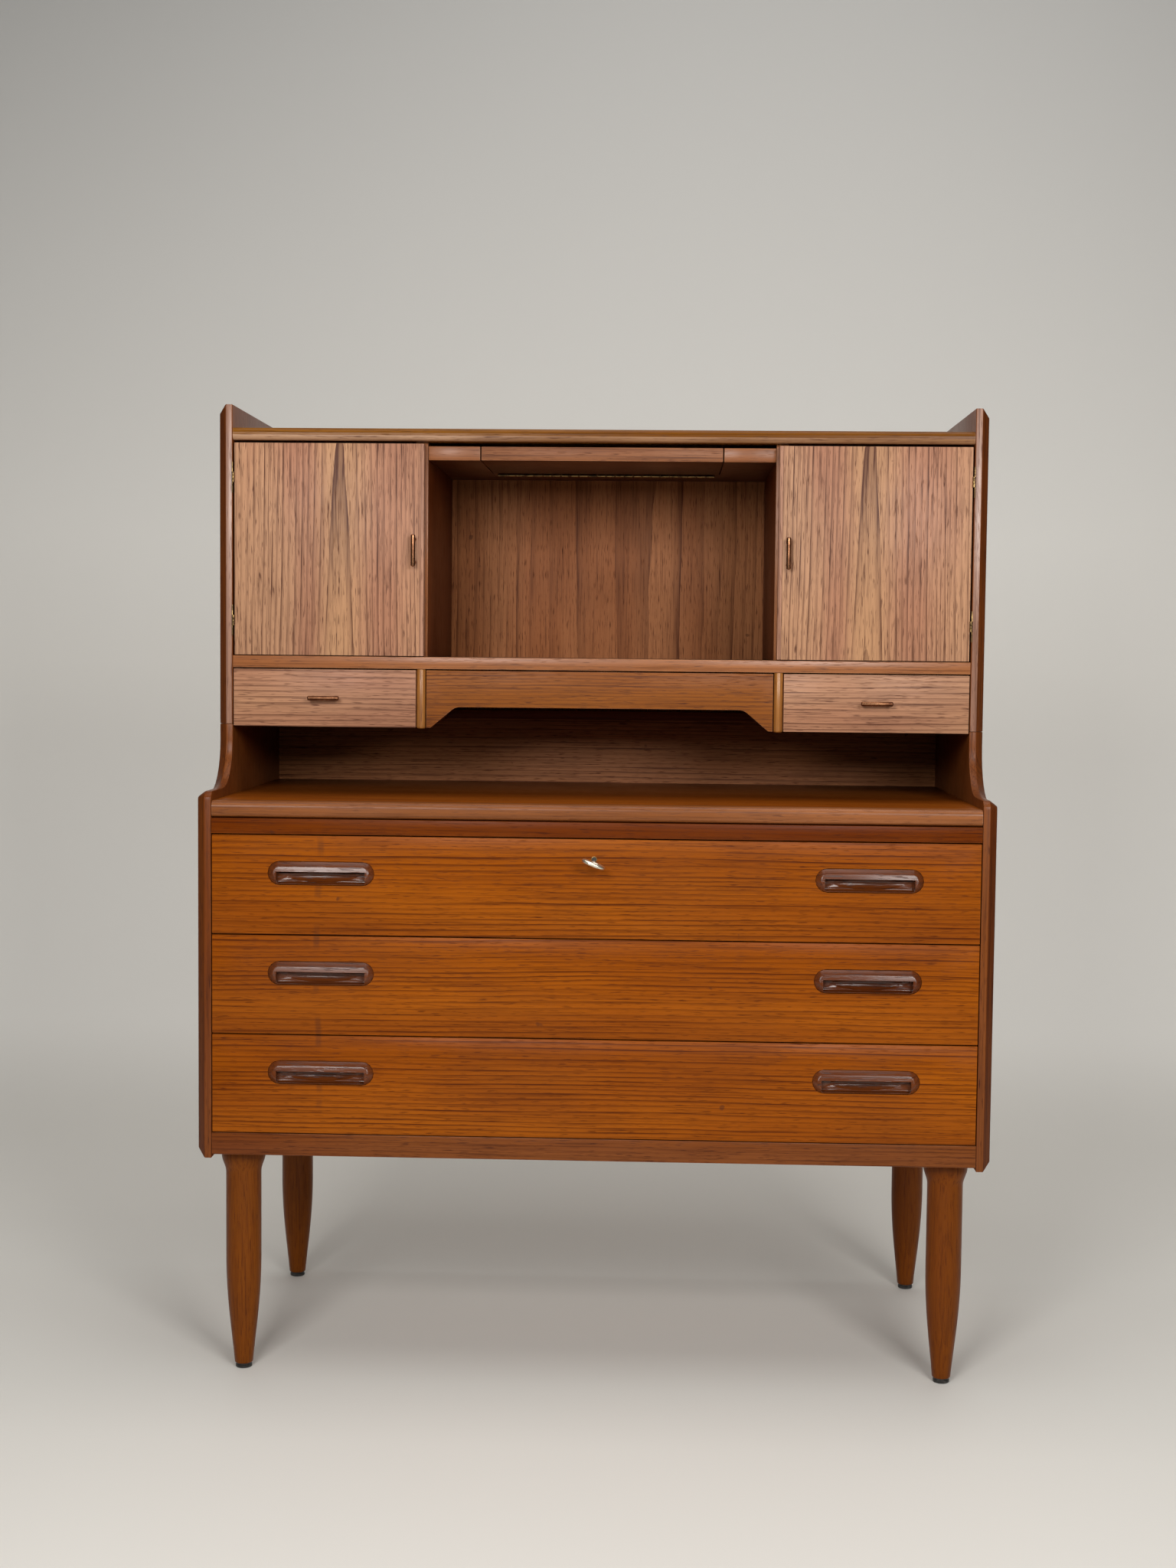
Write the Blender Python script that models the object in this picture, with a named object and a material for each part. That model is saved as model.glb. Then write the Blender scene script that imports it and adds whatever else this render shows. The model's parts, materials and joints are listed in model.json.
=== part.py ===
"""Secretary desk: a three-drawer chest on turned legs with a pull-out writing leaf,
and a set-back cabinet with two doors, a niche with a mirror flap and three small drawers.
Metres, +Z up. It is drawn with the chest's front in the plane Y = 0 and the floor at Z = 0,
and at the end it is moved so that the origin is under the middle of its box."""

import math

import bmesh
import bpy
from mathutils import Matrix, Vector

# Overall sizes
WIDTH = 1.000
DEPTH = 0.480
LEG_HEIGHT = 0.292
SETBACK = 0.133

# Boards
SIDE_THICK = 0.018
SIDE_DROP = 0.005
BOTTOM_THICK = 0.0279
BED_THICK = 0.0193
LEAF_THICK = 0.021
BACK_THICK = 0.008
BACK_INSET = 0.009
SHELF_THICK = 0.016
TOP_THICK = 0.0165
DIVIDER_THICK = 0.016
CREST = 0.0295
LIP_OVER_LEAF = 0.0115
HORN_HEIGHT = 0.092
COVE_RADIUS = 0.060
NOSE_RADIUS = 0.011
CHAMFER_WIDTH = 0.009
CHAMFER_FRONT = 0.007
CHAMFER_END = 0.012

# Large drawers
DRAWER_COUNT = 3
DRAWER_PITCH = 0.1265
FRONT_THICK = 0.020
BOX_WALL = 0.012
BOX_FLOOR = 0.008
BOX_SIDE_CLEARANCE = 0.003
RUNNER_THICK = 0.0115
RUNNER_WIDTH = 0.030
RUNNER_SETBACK = 0.022
LARGE_TRAVEL = 0.330

# Carved grips
GRIP_WIDTH = 0.134
GRIP_HEIGHT = 0.030
GRIP_DEPTH = 0.015
GRIP_SPACING = 0.343
GRIP_RISE = 0.015
GRIP_BAR = 0.0125
GRIP_RIM = 0.0035

# Cabinet
CELL_HEIGHT = 0.0744
CELL_WIDTH = 0.2417
CELL_FLOOR_THICK = 0.0126
DOOR_SPACE = 0.2803
DOOR_THICK = 0.018
DOOR_OVERLAY = 0.0125
BATTEN_THICK = 0.0125
BATTEN_DROP = 0.004
SMALL_FRONT_THICK = 0.016
SMALL_WALL = 0.008
SMALL_FLOOR = 0.005
SMALL_TRAVEL = 0.200
ARCH_RISE = 0.0275
ARCH_SHOULDER = 0.182
ARCH_FOOT = 0.221
HANGER_WIDTH = 0.010
HANGER_THICK = 0.008
CEILING_THICK = 0.018
CEILING_DROP = 0.005
NICHE_SET_IN = 0.019

# Mirror flap
FLAP_WIDTH = 0.316
FLAP_LENGTH = 0.200
FLAP_THICK = 0.012
MIRROR_THICK = 0.004
MIRROR_BORDER = 0.008
HINGE_RADIUS = 0.002
HINGE_LEAF = 0.014
HINGE_LEAF_THICK = 0.001

# Doors' hinges and the bar pulls
DOOR_HINGE_LENGTH = 0.040
DOOR_HINGE_END = 0.045
BAR_RADIUS = 0.003
BAR_LENGTH = 0.042
POST_RADIUS = 0.0022
POST_SPACING = 0.030
PULL_REACH = 0.012
PULL_INSET = 0.0125
PULL_ABOVE_SHELF = 0.138

# Lock
KEYHOLE_DROP = 0.030
KEY_SHAFT_RADIUS = 0.0018
KEY_REACH = 0.020
BOW_WIDTH = 0.031
BOW_HEIGHT = 0.021
BOW_THICK = 0.003
KEY_TILT = math.radians(21)
BIT_LENGTH = 0.006
BOLT_WIDTH = 0.012
BOLT_THICK = 0.004
BOLT_LENGTH = 0.022
BOLT_THROW = 0.008
POCKET_WIDTH = 0.030
POCKET_HEIGHT = 0.044
POCKET_DEPTH = 0.011

# Legs
LEG_SIDE_CLEARANCE = 0.001
LEG_INSET_FRONT = 0.0537
LEG_INSET_REAR = 0.0305
LEG_TOP_RADIUS = 0.0295
LEG_RADIUS = 0.0226
LEG_FOOT_RADIUS = 0.012
GLIDE_HEIGHT = 0.006
GLIDE_RADIUS = 0.0105

# Fits
GAP = 0.0003
SLIDE = 0.0006
REVEAL = 0.0008
SIDE_REVEAL = 0.0012
DOOR_REVEAL = 0.0025
DOOR_TOP_REVEAL = 0.0035

# Levels and planes worked out from the sizes above
INNER_X = WIDTH / 2 - SIDE_THICK
FIXED_X = INNER_X - GAP
BACK_Y = DEPTH - BACK_INSET - BACK_THICK
INSIDE_Y = BACK_Y - GAP
FLOOR_Z = LEG_HEIGHT + BOTTOM_THICK
DRAWERS_Z = FLOOR_Z + 0.0004
BED_Z = DRAWERS_Z + DRAWER_COUNT * DRAWER_PITCH + REVEAL
LEAF_Z = BED_Z + BED_THICK + SLIDE
LEAF_TOP_Z = LEAF_Z + LEAF_THICK
JOINT_Z = LEAF_TOP_Z + HORN_HEIGHT
SHELF_Z = JOINT_Z + CELL_HEIGHT
NICHE_Z = SHELF_Z + SHELF_THICK
TOP_Z = NICHE_Z + DOOR_SPACE
CREST_Z = TOP_Z + TOP_THICK + CREST
CEILING_Z = TOP_Z - CEILING_DROP - CEILING_THICK
CELL_X = INNER_X - CELL_WIDTH
NICHE_X = CELL_X - BATTEN_THICK - GAP
DIVIDER_X = NICHE_X + DIVIDER_THICK
NICHE_Y = SETBACK + NICHE_SET_IN
DOOR_OUTER_X = INNER_X - DOOR_REVEAL
DOOR_INNER_X = DIVIDER_X - DOOR_OVERLAY
FLAP_PIN_Y = NICHE_Y + FLAP_LENGTH + 0.001
FLAP_PIN_Z = CEILING_Z - 0.0022
DOOR_PIN_X = DOOR_OUTER_X + 0.0012
DOOR_PIN_Y = SETBACK - 0.0022
KEYHOLE_Z = BED_Z - KEYHOLE_DROP
KEY_FRONT_Y = -(KEY_REACH + BOW_HEIGHT - 0.002)
MIDDLE_Y = (DEPTH + KEY_FRONT_Y) / 2

# Colours, roughness and metallic of each kind of surface
TEAK_FRONT = ((0.46, 0.17, 0.065), 0.42, 0.0)
TEAK_PALE = ((0.50, 0.24, 0.13), 0.45, 0.0)
TEAK_EDGE = ((0.30, 0.085, 0.035), 0.45, 0.0)
TEAK_LEG = ((0.42, 0.15, 0.05), 0.40, 0.0)
TEAK_DARK = ((0.20, 0.06, 0.028), 0.35, 0.0)
INNER_WOOD = ((0.55, 0.36, 0.19), 0.60, 0.0)
BRASS = ((0.80, 0.62, 0.30), 0.28, 1.0)
MIRROR = ((0.85, 0.87, 0.88), 0.03, 1.0)
BLACK = ((0.015, 0.014, 0.013), 0.60, 0.0)


def clear_scene():
    for old in list(bpy.data.objects):
        bpy.data.objects.remove(old, do_unlink=True)


def give_material(obj, look):
    colour, roughness, metallic = look
    material = bpy.data.materials.new(obj.name)
    material.use_nodes = True
    shader = material.node_tree.nodes["Principled BSDF"]
    shader.inputs["Base Color"].default_value = (*colour, 1.0)
    shader.inputs["Roughness"].default_value = roughness
    shader.inputs["Metallic"].default_value = metallic
    obj.data.materials.clear()
    obj.data.materials.append(material)


def add_object(name, shape, look=None):
    """Makes an object of a bmesh, with its origin at the middle of its box."""
    bmesh.ops.recalc_face_normals(shape, faces=shape.faces)
    low = Vector([min(v.co[i] for v in shape.verts) for i in range(3)])
    high = Vector([max(v.co[i] for v in shape.verts) for i in range(3)])
    middle = (low + high) / 2
    bmesh.ops.translate(shape, verts=shape.verts, vec=-middle)
    mesh = bpy.data.meshes.new(name)
    shape.to_mesh(mesh)
    shape.free()
    obj = bpy.data.objects.new(name, mesh)
    obj.location = middle
    bpy.context.scene.collection.objects.link(obj)
    if look:
        give_material(obj, look)
    return obj


def prism_shape(outline, axis, low, high):
    """Extrudes a closed outline along an axis. The outline holds the other two coordinates in order."""
    place = {
        "X": lambda a, b, c: (c, a, b),
        "Y": lambda a, b, c: (a, c, b),
        "Z": lambda a, b, c: (a, b, c),
    }[axis]
    shape = bmesh.new()
    near = [shape.verts.new(place(a, b, low)) for a, b in outline]
    far = [shape.verts.new(place(a, b, high)) for a, b in outline]
    shape.faces.new(near)
    shape.faces.new(list(reversed(far)))
    for i in range(len(outline)):
        j = (i + 1) % len(outline)
        shape.faces.new((near[j], near[i], far[i], far[j]))
    return shape


def box_shape(x0, x1, y0, y1, z0, z1):
    return prism_shape([(x0, y0), (x1, y0), (x1, y1), (x0, y1)], "Z", z0, z1)


def soften(shape, width, segments, choose):
    """Rounds the edges whose two ends both satisfy the test."""
    shape.normal_update()
    edges = [e for e in shape.edges if choose(e.verts[0].co) and choose(e.verts[1].co)]
    bmesh.ops.bevel(
        shape, geom=edges, offset=width, segments=segments, profile=0.5, affect="EDGES", clamp_overlap=True
    )
    return shape


def board(name, x0, x1, y0, y1, z0, z1, look, round_front=0.0, segments=3):
    shape = box_shape(x0, x1, y0, y1, z0, z1)
    if round_front:
        soften(shape, round_front, segments, lambda co: abs(co.y - y0) < 1e-6)
    return add_object(name, shape, look)


def boolean(obj, shape, operation):
    """Cuts or joins a bmesh into an object and leaves one clean mesh."""
    tool = add_object(obj.name + "_tool", shape)
    modifier = obj.modifiers.new("shape", "BOOLEAN")
    modifier.operation = operation
    modifier.solver = "EXACT"
    modifier.object = tool
    bpy.context.view_layer.update()
    graph = bpy.context.evaluated_depsgraph_get()
    mesh = bpy.data.meshes.new_from_object(obj.evaluated_get(graph))
    obj.modifiers.clear()
    old = obj.data
    mesh.name = old.name
    obj.data = mesh
    bpy.data.meshes.remove(old)
    bpy.data.objects.remove(tool, do_unlink=True)


def cylinder_shape(radius, start, end, sides):
    """A round bar between two points."""
    start, end = Vector(start), Vector(end)
    shape = bmesh.new()
    bmesh.ops.create_cone(
        shape,
        cap_ends=True,
        segments=sides,
        radius1=radius,
        radius2=radius,
        depth=(end - start).length,
    )
    turn = Vector((0, 0, 1)).rotation_difference(end - start).to_matrix().to_4x4()
    bmesh.ops.transform(shape, matrix=Matrix.Translation((start + end) / 2) @ turn, verts=shape.verts)
    return shape


def smooth(obj, angle=35):
    """Shades smooth, with edges sharper than the angle kept."""
    shape = bmesh.new()
    shape.from_mesh(obj.data)
    for face in shape.faces:
        face.smooth = True
    for edge in shape.edges:
        edge.smooth = len(edge.link_faces) == 2 and edge.calc_face_angle(0.0) < math.radians(angle)
    shape.to_mesh(obj.data)
    shape.free()


def stadium(width, height, middle_x, middle_z, steps=8):
    """The outline of a slot with round ends, in X and Z."""
    radius = height / 2
    reach = width / 2 - radius
    points = []
    for side, start in ((1, -90), (-1, 90)):
        for k in range(steps + 1):
            angle = math.radians(start + 180 * k / steps)
            x = middle_x + side * reach + radius * math.cos(angle)
            points.append((x, middle_z + radius * math.sin(angle)))
    return points


def arc(centre, radius, start, end, steps):
    """Points of an arc in two coordinates, with both ends."""
    points = []
    for k in range(steps + 1):
        angle = math.radians(start + (end - start) * k / steps)
        points.append((centre[0] + radius * math.cos(angle), centre[1] + radius * math.sin(angle)))
    return points


def chamfered_side(name, side, outline, inset):
    """A side board whose outer face is drawn in, so that its outer edges are bevelled.

    outline and inset are matching outlines in Y and Z. side is -1 for left and 1 for right."""
    shape = bmesh.new()
    rings = []
    layers = ((INNER_X, outline), (WIDTH / 2 - CHAMFER_WIDTH, outline), (WIDTH / 2, inset))
    for x, points in layers:
        rings.append([shape.verts.new((side * x, y, z)) for y, z in points])
    for lower, upper in zip(rings, rings[1:]):
        for i in range(len(outline)):
            j = (i + 1) % len(outline)
            shape.faces.new((lower[i], lower[j], upper[j], upper[i]))
    shape.faces.new(list(reversed(rings[0])))
    shape.faces.new(rings[-1])
    return add_object(name, shape, TEAK_EDGE)


def lower_side_outline(drawn_in):
    """The chest side's outline: front, rounded top of the front, cove up to the cabinet."""
    front = CHAMFER_FRONT if drawn_in else 0.0
    end = CHAMFER_END if drawn_in else 0.0
    shelf_z = LEAF_TOP_Z + LIP_OVER_LEAF
    bottom_z = LEG_HEIGHT - SIDE_DROP
    cove = (SETBACK - COVE_RADIUS, shelf_z + COVE_RADIUS)
    nose = (NOSE_RADIUS, shelf_z - NOSE_RADIUS)
    points = [(DEPTH, bottom_z + end), (front, bottom_z + end)]
    points += arc(nose, NOSE_RADIUS - front, 180, 90, 4)
    points += arc(cove, COVE_RADIUS + front, -90, 0, 8)
    points += [(SETBACK + front, JOINT_Z), (DEPTH, JOINT_Z)]
    return points


def upper_side_outline(drawn_in):
    front = CHAMFER_FRONT if drawn_in else 0.0
    end = CHAMFER_END if drawn_in else 0.0
    low_z = JOINT_Z + GAP
    top_z = CREST_Z - end
    return [(DEPTH, low_z), (SETBACK + front, low_z), (SETBACK + front, top_z), (DEPTH, top_z)]


def build_sides():
    for word, side in (("left", -1), ("right", 1)):
        chamfered_side("chest_side_" + word, side, lower_side_outline(False), lower_side_outline(True))
        chamfered_side("cabinet_side_" + word, side, upper_side_outline(False), upper_side_outline(True))


def build_chest():
    board("bottom_board", -FIXED_X, FIXED_X, 0, DEPTH, LEG_HEIGHT, FLOOR_Z, TEAK_FRONT)
    board("chest_back", -FIXED_X, FIXED_X, BACK_Y, BACK_Y + BACK_THICK, FLOOR_Z + GAP, JOINT_Z, TEAK_PALE)
    bed = board("leaf_bed", -FIXED_X, FIXED_X, 0, INSIDE_Y, BED_Z, BED_Z + BED_THICK, TEAK_FRONT)
    slot_x = BOLT_WIDTH / 2 + 0.0015
    slot_y = FRONT_THICK - POCKET_DEPTH / 2
    slot = box_shape(
        -slot_x, slot_x, slot_y - 0.0035, slot_y + 0.0055, BED_Z - 0.001, BED_Z + BOLT_THROW + 0.003
    )
    boolean(bed, slot, "DIFFERENCE")
    for number in (1, 2):
        build_runner_frame(number)


def drawer_bottom_z(number):
    """The level between a large drawer and what is under it. Drawer 1 is the top one."""
    return DRAWERS_Z + (DRAWER_COUNT - number) * DRAWER_PITCH


def build_runner_frame(number):
    """Two runners and the rail that joins them at the back."""
    low = drawer_bottom_z(number)
    inner = FIXED_X - RUNNER_WIDTH
    rail_y = INSIDE_Y - RUNNER_WIDTH
    outline = [
        (-FIXED_X, RUNNER_SETBACK),
        (-inner, RUNNER_SETBACK),
        (-inner, rail_y),
        (inner, rail_y),
        (inner, RUNNER_SETBACK),
        (FIXED_X, RUNNER_SETBACK),
        (FIXED_X, INSIDE_Y),
        (-FIXED_X, INSIDE_Y),
    ]
    shape = prism_shape(outline, "Z", low, low + RUNNER_THICK)
    add_object("runner_frame_%d" % number, shape, INNER_WOOD)


def tray(name, x0, x1, y0, y1, z0, z1, wall, floor, look):
    """A drawer's box: two sides, back and floor, open at the top and at the front board."""
    shape = box_shape(x0, x1, y0, y1, z0, z1)
    obj = add_object(name, shape, look)
    hollow = box_shape(x0 + wall, x1 - wall, y0 - wall, y1 - wall, z0 + floor, z1 + floor)
    boolean(obj, hollow, "DIFFERENCE")
    return obj


def joint_empty(name, place):
    empty = bpy.data.objects.new(name, None)
    empty.location = place
    bpy.context.scene.collection.objects.link(empty)
    return empty


def ride(empty, *pieces):
    bpy.context.view_layer.update()
    for piece in pieces:
        piece.parent = empty
        piece.matrix_parent_inverse = empty.matrix_world.inverted()


def build_grip(name, middle_x, middle_z):
    """A hardwood insert: a rounded bar across the top and a scooped finger recess under and behind it."""
    low_y = 0.0002
    high_y = low_y + GRIP_DEPTH
    outline = stadium(GRIP_WIDTH, GRIP_HEIGHT, middle_x, middle_z)
    grip = add_object(name, prism_shape(outline, "Y", low_y, high_y), TEAK_DARK)
    recess_top = middle_z + GRIP_HEIGHT / 2 - GRIP_BAR
    recess_bottom = middle_z - GRIP_HEIGHT / 2 + GRIP_RIM
    recess_height = recess_top - recess_bottom
    recess_width = GRIP_WIDTH - 0.017
    scoop = stadium(recess_width, recess_height, middle_x, recess_bottom + recess_height / 2, 6)
    boolean(grip, prism_shape(scoop, "Y", low_y - 0.002, high_y - GRIP_RIM), "DIFFERENCE")
    undercut_top = recess_top + 0.008
    half = recess_width / 2 - recess_height / 2
    undercut = box_shape(
        middle_x - half, middle_x + half, low_y + 0.006, high_y - GRIP_RIM, recess_top - 0.004, undercut_top
    )
    boolean(grip, undercut, "DIFFERENCE")
    smooth(grip)
    return grip


def build_large_drawer(number):
    low = drawer_bottom_z(number) + REVEAL
    high = low + DRAWER_PITCH - 2 * REVEAL
    name = "drawer_%d" % number
    front_x = INNER_X - SIDE_REVEAL
    front = board(name + "_front", -front_x, front_x, 0, FRONT_THICK, low, high, TEAK_FRONT)
    grip_z = (low + high) / 2 + GRIP_RISE
    pieces = [front]
    for word, side in (("left", -1), ("right", 1)):
        middle_x = side * GRIP_SPACING
        socket = stadium(GRIP_WIDTH + 2 * GAP, GRIP_HEIGHT + 2 * GAP, middle_x, grip_z)
        boolean(front, prism_shape(socket, "Y", -0.002, 0.0002 + GRIP_DEPTH + GAP), "DIFFERENCE")
        pieces.append(build_grip(name + "_grip_" + word, middle_x, grip_z))
    box_x = INNER_X - BOX_SIDE_CLEARANCE
    if number < DRAWER_COUNT:
        box_z = drawer_bottom_z(number) + RUNNER_THICK + SLIDE
    else:
        box_z = FLOOR_Z + SLIDE
    box_top = high - 0.012
    box_y = INSIDE_Y - 0.010
    pieces.append(
        tray(
            name + "_box", -box_x, box_x, FRONT_THICK + GAP, box_y, box_z, box_top, BOX_WALL, BOX_FLOOR,
            INNER_WOOD,
        )
    )
    if number == 1:
        cut_lock_pocket(front)
        pieces.append(build_bolt(high))
        pieces.append(build_key())
    ride(joint_empty(name + "_slide", (0, 0, (low + high) / 2)), *pieces)


def cut_lock_pocket(front):
    """Room for the bolt and the key's bit behind the front, open at its top edge, and the keyhole."""
    pocket_y = FRONT_THICK - POCKET_DEPTH
    pocket_x = POCKET_WIDTH / 2
    low_z = KEYHOLE_Z - 0.014
    boolean(
        front,
        box_shape(-pocket_x, pocket_x, pocket_y, FRONT_THICK + 0.002, low_z, low_z + POCKET_HEIGHT - 0.007),
        "DIFFERENCE",
    )
    slot_x = BOLT_WIDTH / 2 + GAP * 2
    boolean(
        front,
        box_shape(-slot_x, slot_x, pocket_y + 0.003, pocket_y + 0.0085, low_z + 0.020, BED_Z + 0.002),
        "DIFFERENCE",
    )
    hole = cylinder_shape(
        KEY_SHAFT_RADIUS + 0.0006, (0, -0.002, KEYHOLE_Z), (0, pocket_y + 0.002, KEYHOLE_Z), 12
    )
    boolean(front, hole, "DIFFERENCE")


def build_bolt(front_top):
    """The bolt that rises out of the drawer's top edge when the key is turned."""
    low_y = FRONT_THICK - POCKET_DEPTH + 0.0038
    half = BOLT_WIDTH / 2
    top = front_top - 0.0005
    return add_object(
        "lock_bolt", box_shape(-half, half, low_y, low_y + BOLT_THICK, top - BOLT_LENGTH, top), BRASS
    )


def build_key():
    """A key with an oval bow, standing in the keyhole a part turn round."""
    axis = Matrix.Translation((0, 0, KEYHOLE_Z))
    inner_y = FRONT_THICK - POCKET_DEPTH + 0.0032
    bow_y = -KEY_REACH
    key = add_object(
        "key",
        cylinder_shape(KEY_SHAFT_RADIUS, (0, bow_y + 0.001, KEYHOLE_Z), (0, inner_y, KEYHOLE_Z), 12),
        BRASS,
    )
    collar = cylinder_shape(
        KEY_SHAFT_RADIUS + 0.0011, (0, bow_y, KEYHOLE_Z), (0, bow_y + 0.005, KEYHOLE_Z), 12
    )
    boolean(key, collar, "UNION")
    bit = box_shape(-BIT_LENGTH, 0, inner_y - 0.003, inner_y, KEYHOLE_Z - 0.0008, KEYHOLE_Z + 0.0008)
    boolean(key, bit, "UNION")
    outer = oval_shape(BOW_WIDTH / 2, BOW_HEIGHT / 2, bow_y - BOW_HEIGHT / 2 + 0.002, BOW_THICK)
    boolean(key, outer, "UNION")
    inner = oval_shape(
        BOW_WIDTH / 2 - 0.0045, BOW_HEIGHT / 2 - 0.0045, bow_y - BOW_HEIGHT / 2 + 0.002, BOW_THICK * 2
    )
    boolean(key, inner, "DIFFERENCE")
    turn = axis @ Matrix.Rotation(KEY_TILT, 4, "Y") @ axis.inverted()
    key.data.transform(key.matrix_basis.inverted() @ turn @ key.matrix_basis)
    smooth(key, 40)
    return key


def oval_shape(half_x, half_y, middle_y, thick):
    outline = []
    for k in range(20):
        angle = math.tau * k / 20
        outline.append((half_x * math.cos(angle), middle_y + half_y * math.sin(angle)))
    return prism_shape(outline, "Z", KEYHOLE_Z - thick / 2, KEYHOLE_Z + thick / 2)


def build_leaf():
    """The writing leaf, with a rounded front edge."""
    half = INNER_X - SLIDE
    shape = box_shape(-half, half, 0, INSIDE_Y - 0.004, LEAF_Z, LEAF_TOP_Z)
    soften(shape, 0.008, 4, lambda co: co.y < 1e-6)
    leaf = add_object("writing_leaf", shape, TEAK_FRONT)
    smooth(leaf)
    ride(joint_empty("writing_leaf_slide", (0, 0, LEAF_Z)), leaf)


def turned(name, profile, middle_x, middle_y, look, sides=24):
    """A round piece about a vertical axis from (radius, z) points, bottom to top."""
    shape = bmesh.new()
    rings = []
    for radius, z in profile:
        ring = []
        for k in range(sides):
            angle = math.tau * k / sides
            ring.append(
                shape.verts.new(
                    (middle_x + radius * math.cos(angle), middle_y + radius * math.sin(angle), z)
                )
            )
        rings.append(ring)
    for lower, upper in zip(rings, rings[1:]):
        for k in range(sides):
            j = (k + 1) % sides
            shape.faces.new((lower[k], lower[j], upper[j], upper[k]))
    shape.faces.new(list(reversed(rings[0])))
    shape.faces.new(rings[-1])
    obj = add_object(name, shape, look)
    smooth(obj)
    return obj


def build_legs():
    length = LEG_HEIGHT - GLIDE_HEIGHT
    middle = LEG_RADIUS - LEG_FOOT_RADIUS
    profile = [
        (LEG_FOOT_RADIUS - 0.0012, 0.0),
        (LEG_FOOT_RADIUS, 0.0012),
        (LEG_FOOT_RADIUS + 0.15 * middle, 0.070 * length),
        (LEG_FOOT_RADIUS + 0.45 * middle, 0.205 * length),
        (LEG_FOOT_RADIUS + 0.77 * middle, 0.345 * length),
        (LEG_FOOT_RADIUS + 0.93 * middle, 0.420 * length),
        (LEG_RADIUS, 0.490 * length),
        (LEG_RADIUS, length - 0.0325),
        (LEG_RADIUS + 0.0015, length - 0.0235),
        (LEG_RADIUS + 0.0050, length - 0.0160),
        (LEG_TOP_RADIUS, length - 0.0100),
        (LEG_TOP_RADIUS, length - GAP * 2),
    ]
    leg_z = GLIDE_HEIGHT + GAP
    for word_x, side in (("left", -1), ("right", 1)):
        for word_y, y in (("front", LEG_INSET_FRONT), ("rear", DEPTH - LEG_INSET_REAR)):
            x = side * (INNER_X - LEG_SIDE_CLEARANCE - LEG_TOP_RADIUS)
            name = "%s_%s" % (word_y, word_x)
            points = [(radius, z + leg_z) for radius, z in profile]
            turned("leg_" + name, points, x, y, TEAK_LEG)
            glide = [
                (GLIDE_RADIUS - 0.001, 0.0),
                (GLIDE_RADIUS, 0.001),
                (GLIDE_RADIUS, GLIDE_HEIGHT),
            ]
            turned("glide_" + name, glide, x, y, BLACK, 16)


def build_cabinet():
    top = box_shape(-FIXED_X, FIXED_X, SETBACK, DEPTH, TOP_Z, TOP_Z + TOP_THICK)
    soften(top, 0.007, 4, lambda co: co.y < SETBACK + 1e-6)
    smooth(add_object("top_board", top, TEAK_FRONT))
    board("middle_shelf", -FIXED_X, FIXED_X, SETBACK, INSIDE_Y, SHELF_Z, NICHE_Z - GAP, TEAK_PALE)
    board(
        "cabinet_back", -FIXED_X, FIXED_X, BACK_Y, BACK_Y + BACK_THICK, JOINT_Z + GAP, TOP_Z - GAP, TEAK_PALE
    )
    for word, side in (("left", -1), ("right", 1)):
        x0, x1 = sorted((side * NICHE_X, side * DIVIDER_X))
        board("divider_" + word, x0, x1, NICHE_Y, INSIDE_Y, NICHE_Z, TOP_Z - GAP, TEAK_EDGE)
        build_batten_divider(word, side)
    build_cell_floor()
    build_ceiling()


def build_batten_divider(word, side):
    """The board between the small drawers, with a half-round nose and a hanger for the centre drawer."""
    near = NICHE_X + GAP
    far = near + BATTEN_THICK - GAP
    middle = (near + far) / 2
    radius = (far - near) / 2
    low = JOINT_Z + GAP
    high = SHELF_Z - GAP
    rear = INSIDE_Y - 0.016
    hanger_top = low + ARCH_RISE + 0.003
    outline = [
        (far, low),
        (far, high),
        (near, high),
        (near, hanger_top),
        (near - HANGER_WIDTH, hanger_top),
        (near - HANGER_WIDTH, hanger_top - HANGER_THICK),
        (near, hanger_top - HANGER_THICK),
        (near, low),
    ]
    outline = [(side * x, z) for x, z in outline]
    body = add_object(
        "batten_divider_" + word,
        prism_shape(outline, "Y", SETBACK + SMALL_FRONT_THICK + 0.002, rear),
        TEAK_PALE,
    )
    nose_y = SETBACK + radius
    nose = [(middle * side + radius * math.cos(a), nose_y - radius * math.sin(a)) for a in half_turn(12)]
    nose += [(middle * side - radius, nose_y + 0.020), (middle * side + radius, nose_y + 0.020)]
    shape = prism_shape(nose, "Z", low - BATTEN_DROP, high)
    soften(shape, 0.0025, 3, lambda co: co.z < low - BATTEN_DROP + 1e-6 and co.y < nose_y + 0.001)
    boolean(body, shape, "UNION")
    smooth(body)


def half_turn(steps):
    return [math.pi * k / steps for k in range(steps + 1)]


def build_cell_floor():
    """The floor under the small drawers, cut away in front of the back rail at the centre."""
    inner = NICHE_X + BATTEN_THICK + GAP
    front = SETBACK + SMALL_FRONT_THICK + 0.001
    rail = INSIDE_Y - 0.0155
    outline = [
        (-FIXED_X, front),
        (-inner, front),
        (-inner, rail),
        (inner, rail),
        (inner, front),
        (FIXED_X, front),
        (FIXED_X, INSIDE_Y),
        (-FIXED_X, INSIDE_Y),
    ]
    low = JOINT_Z + GAP
    add_object("cabinet_floor", prism_shape(outline, "Z", low, low + CELL_FLOOR_THICK), TEAK_PALE)


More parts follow.
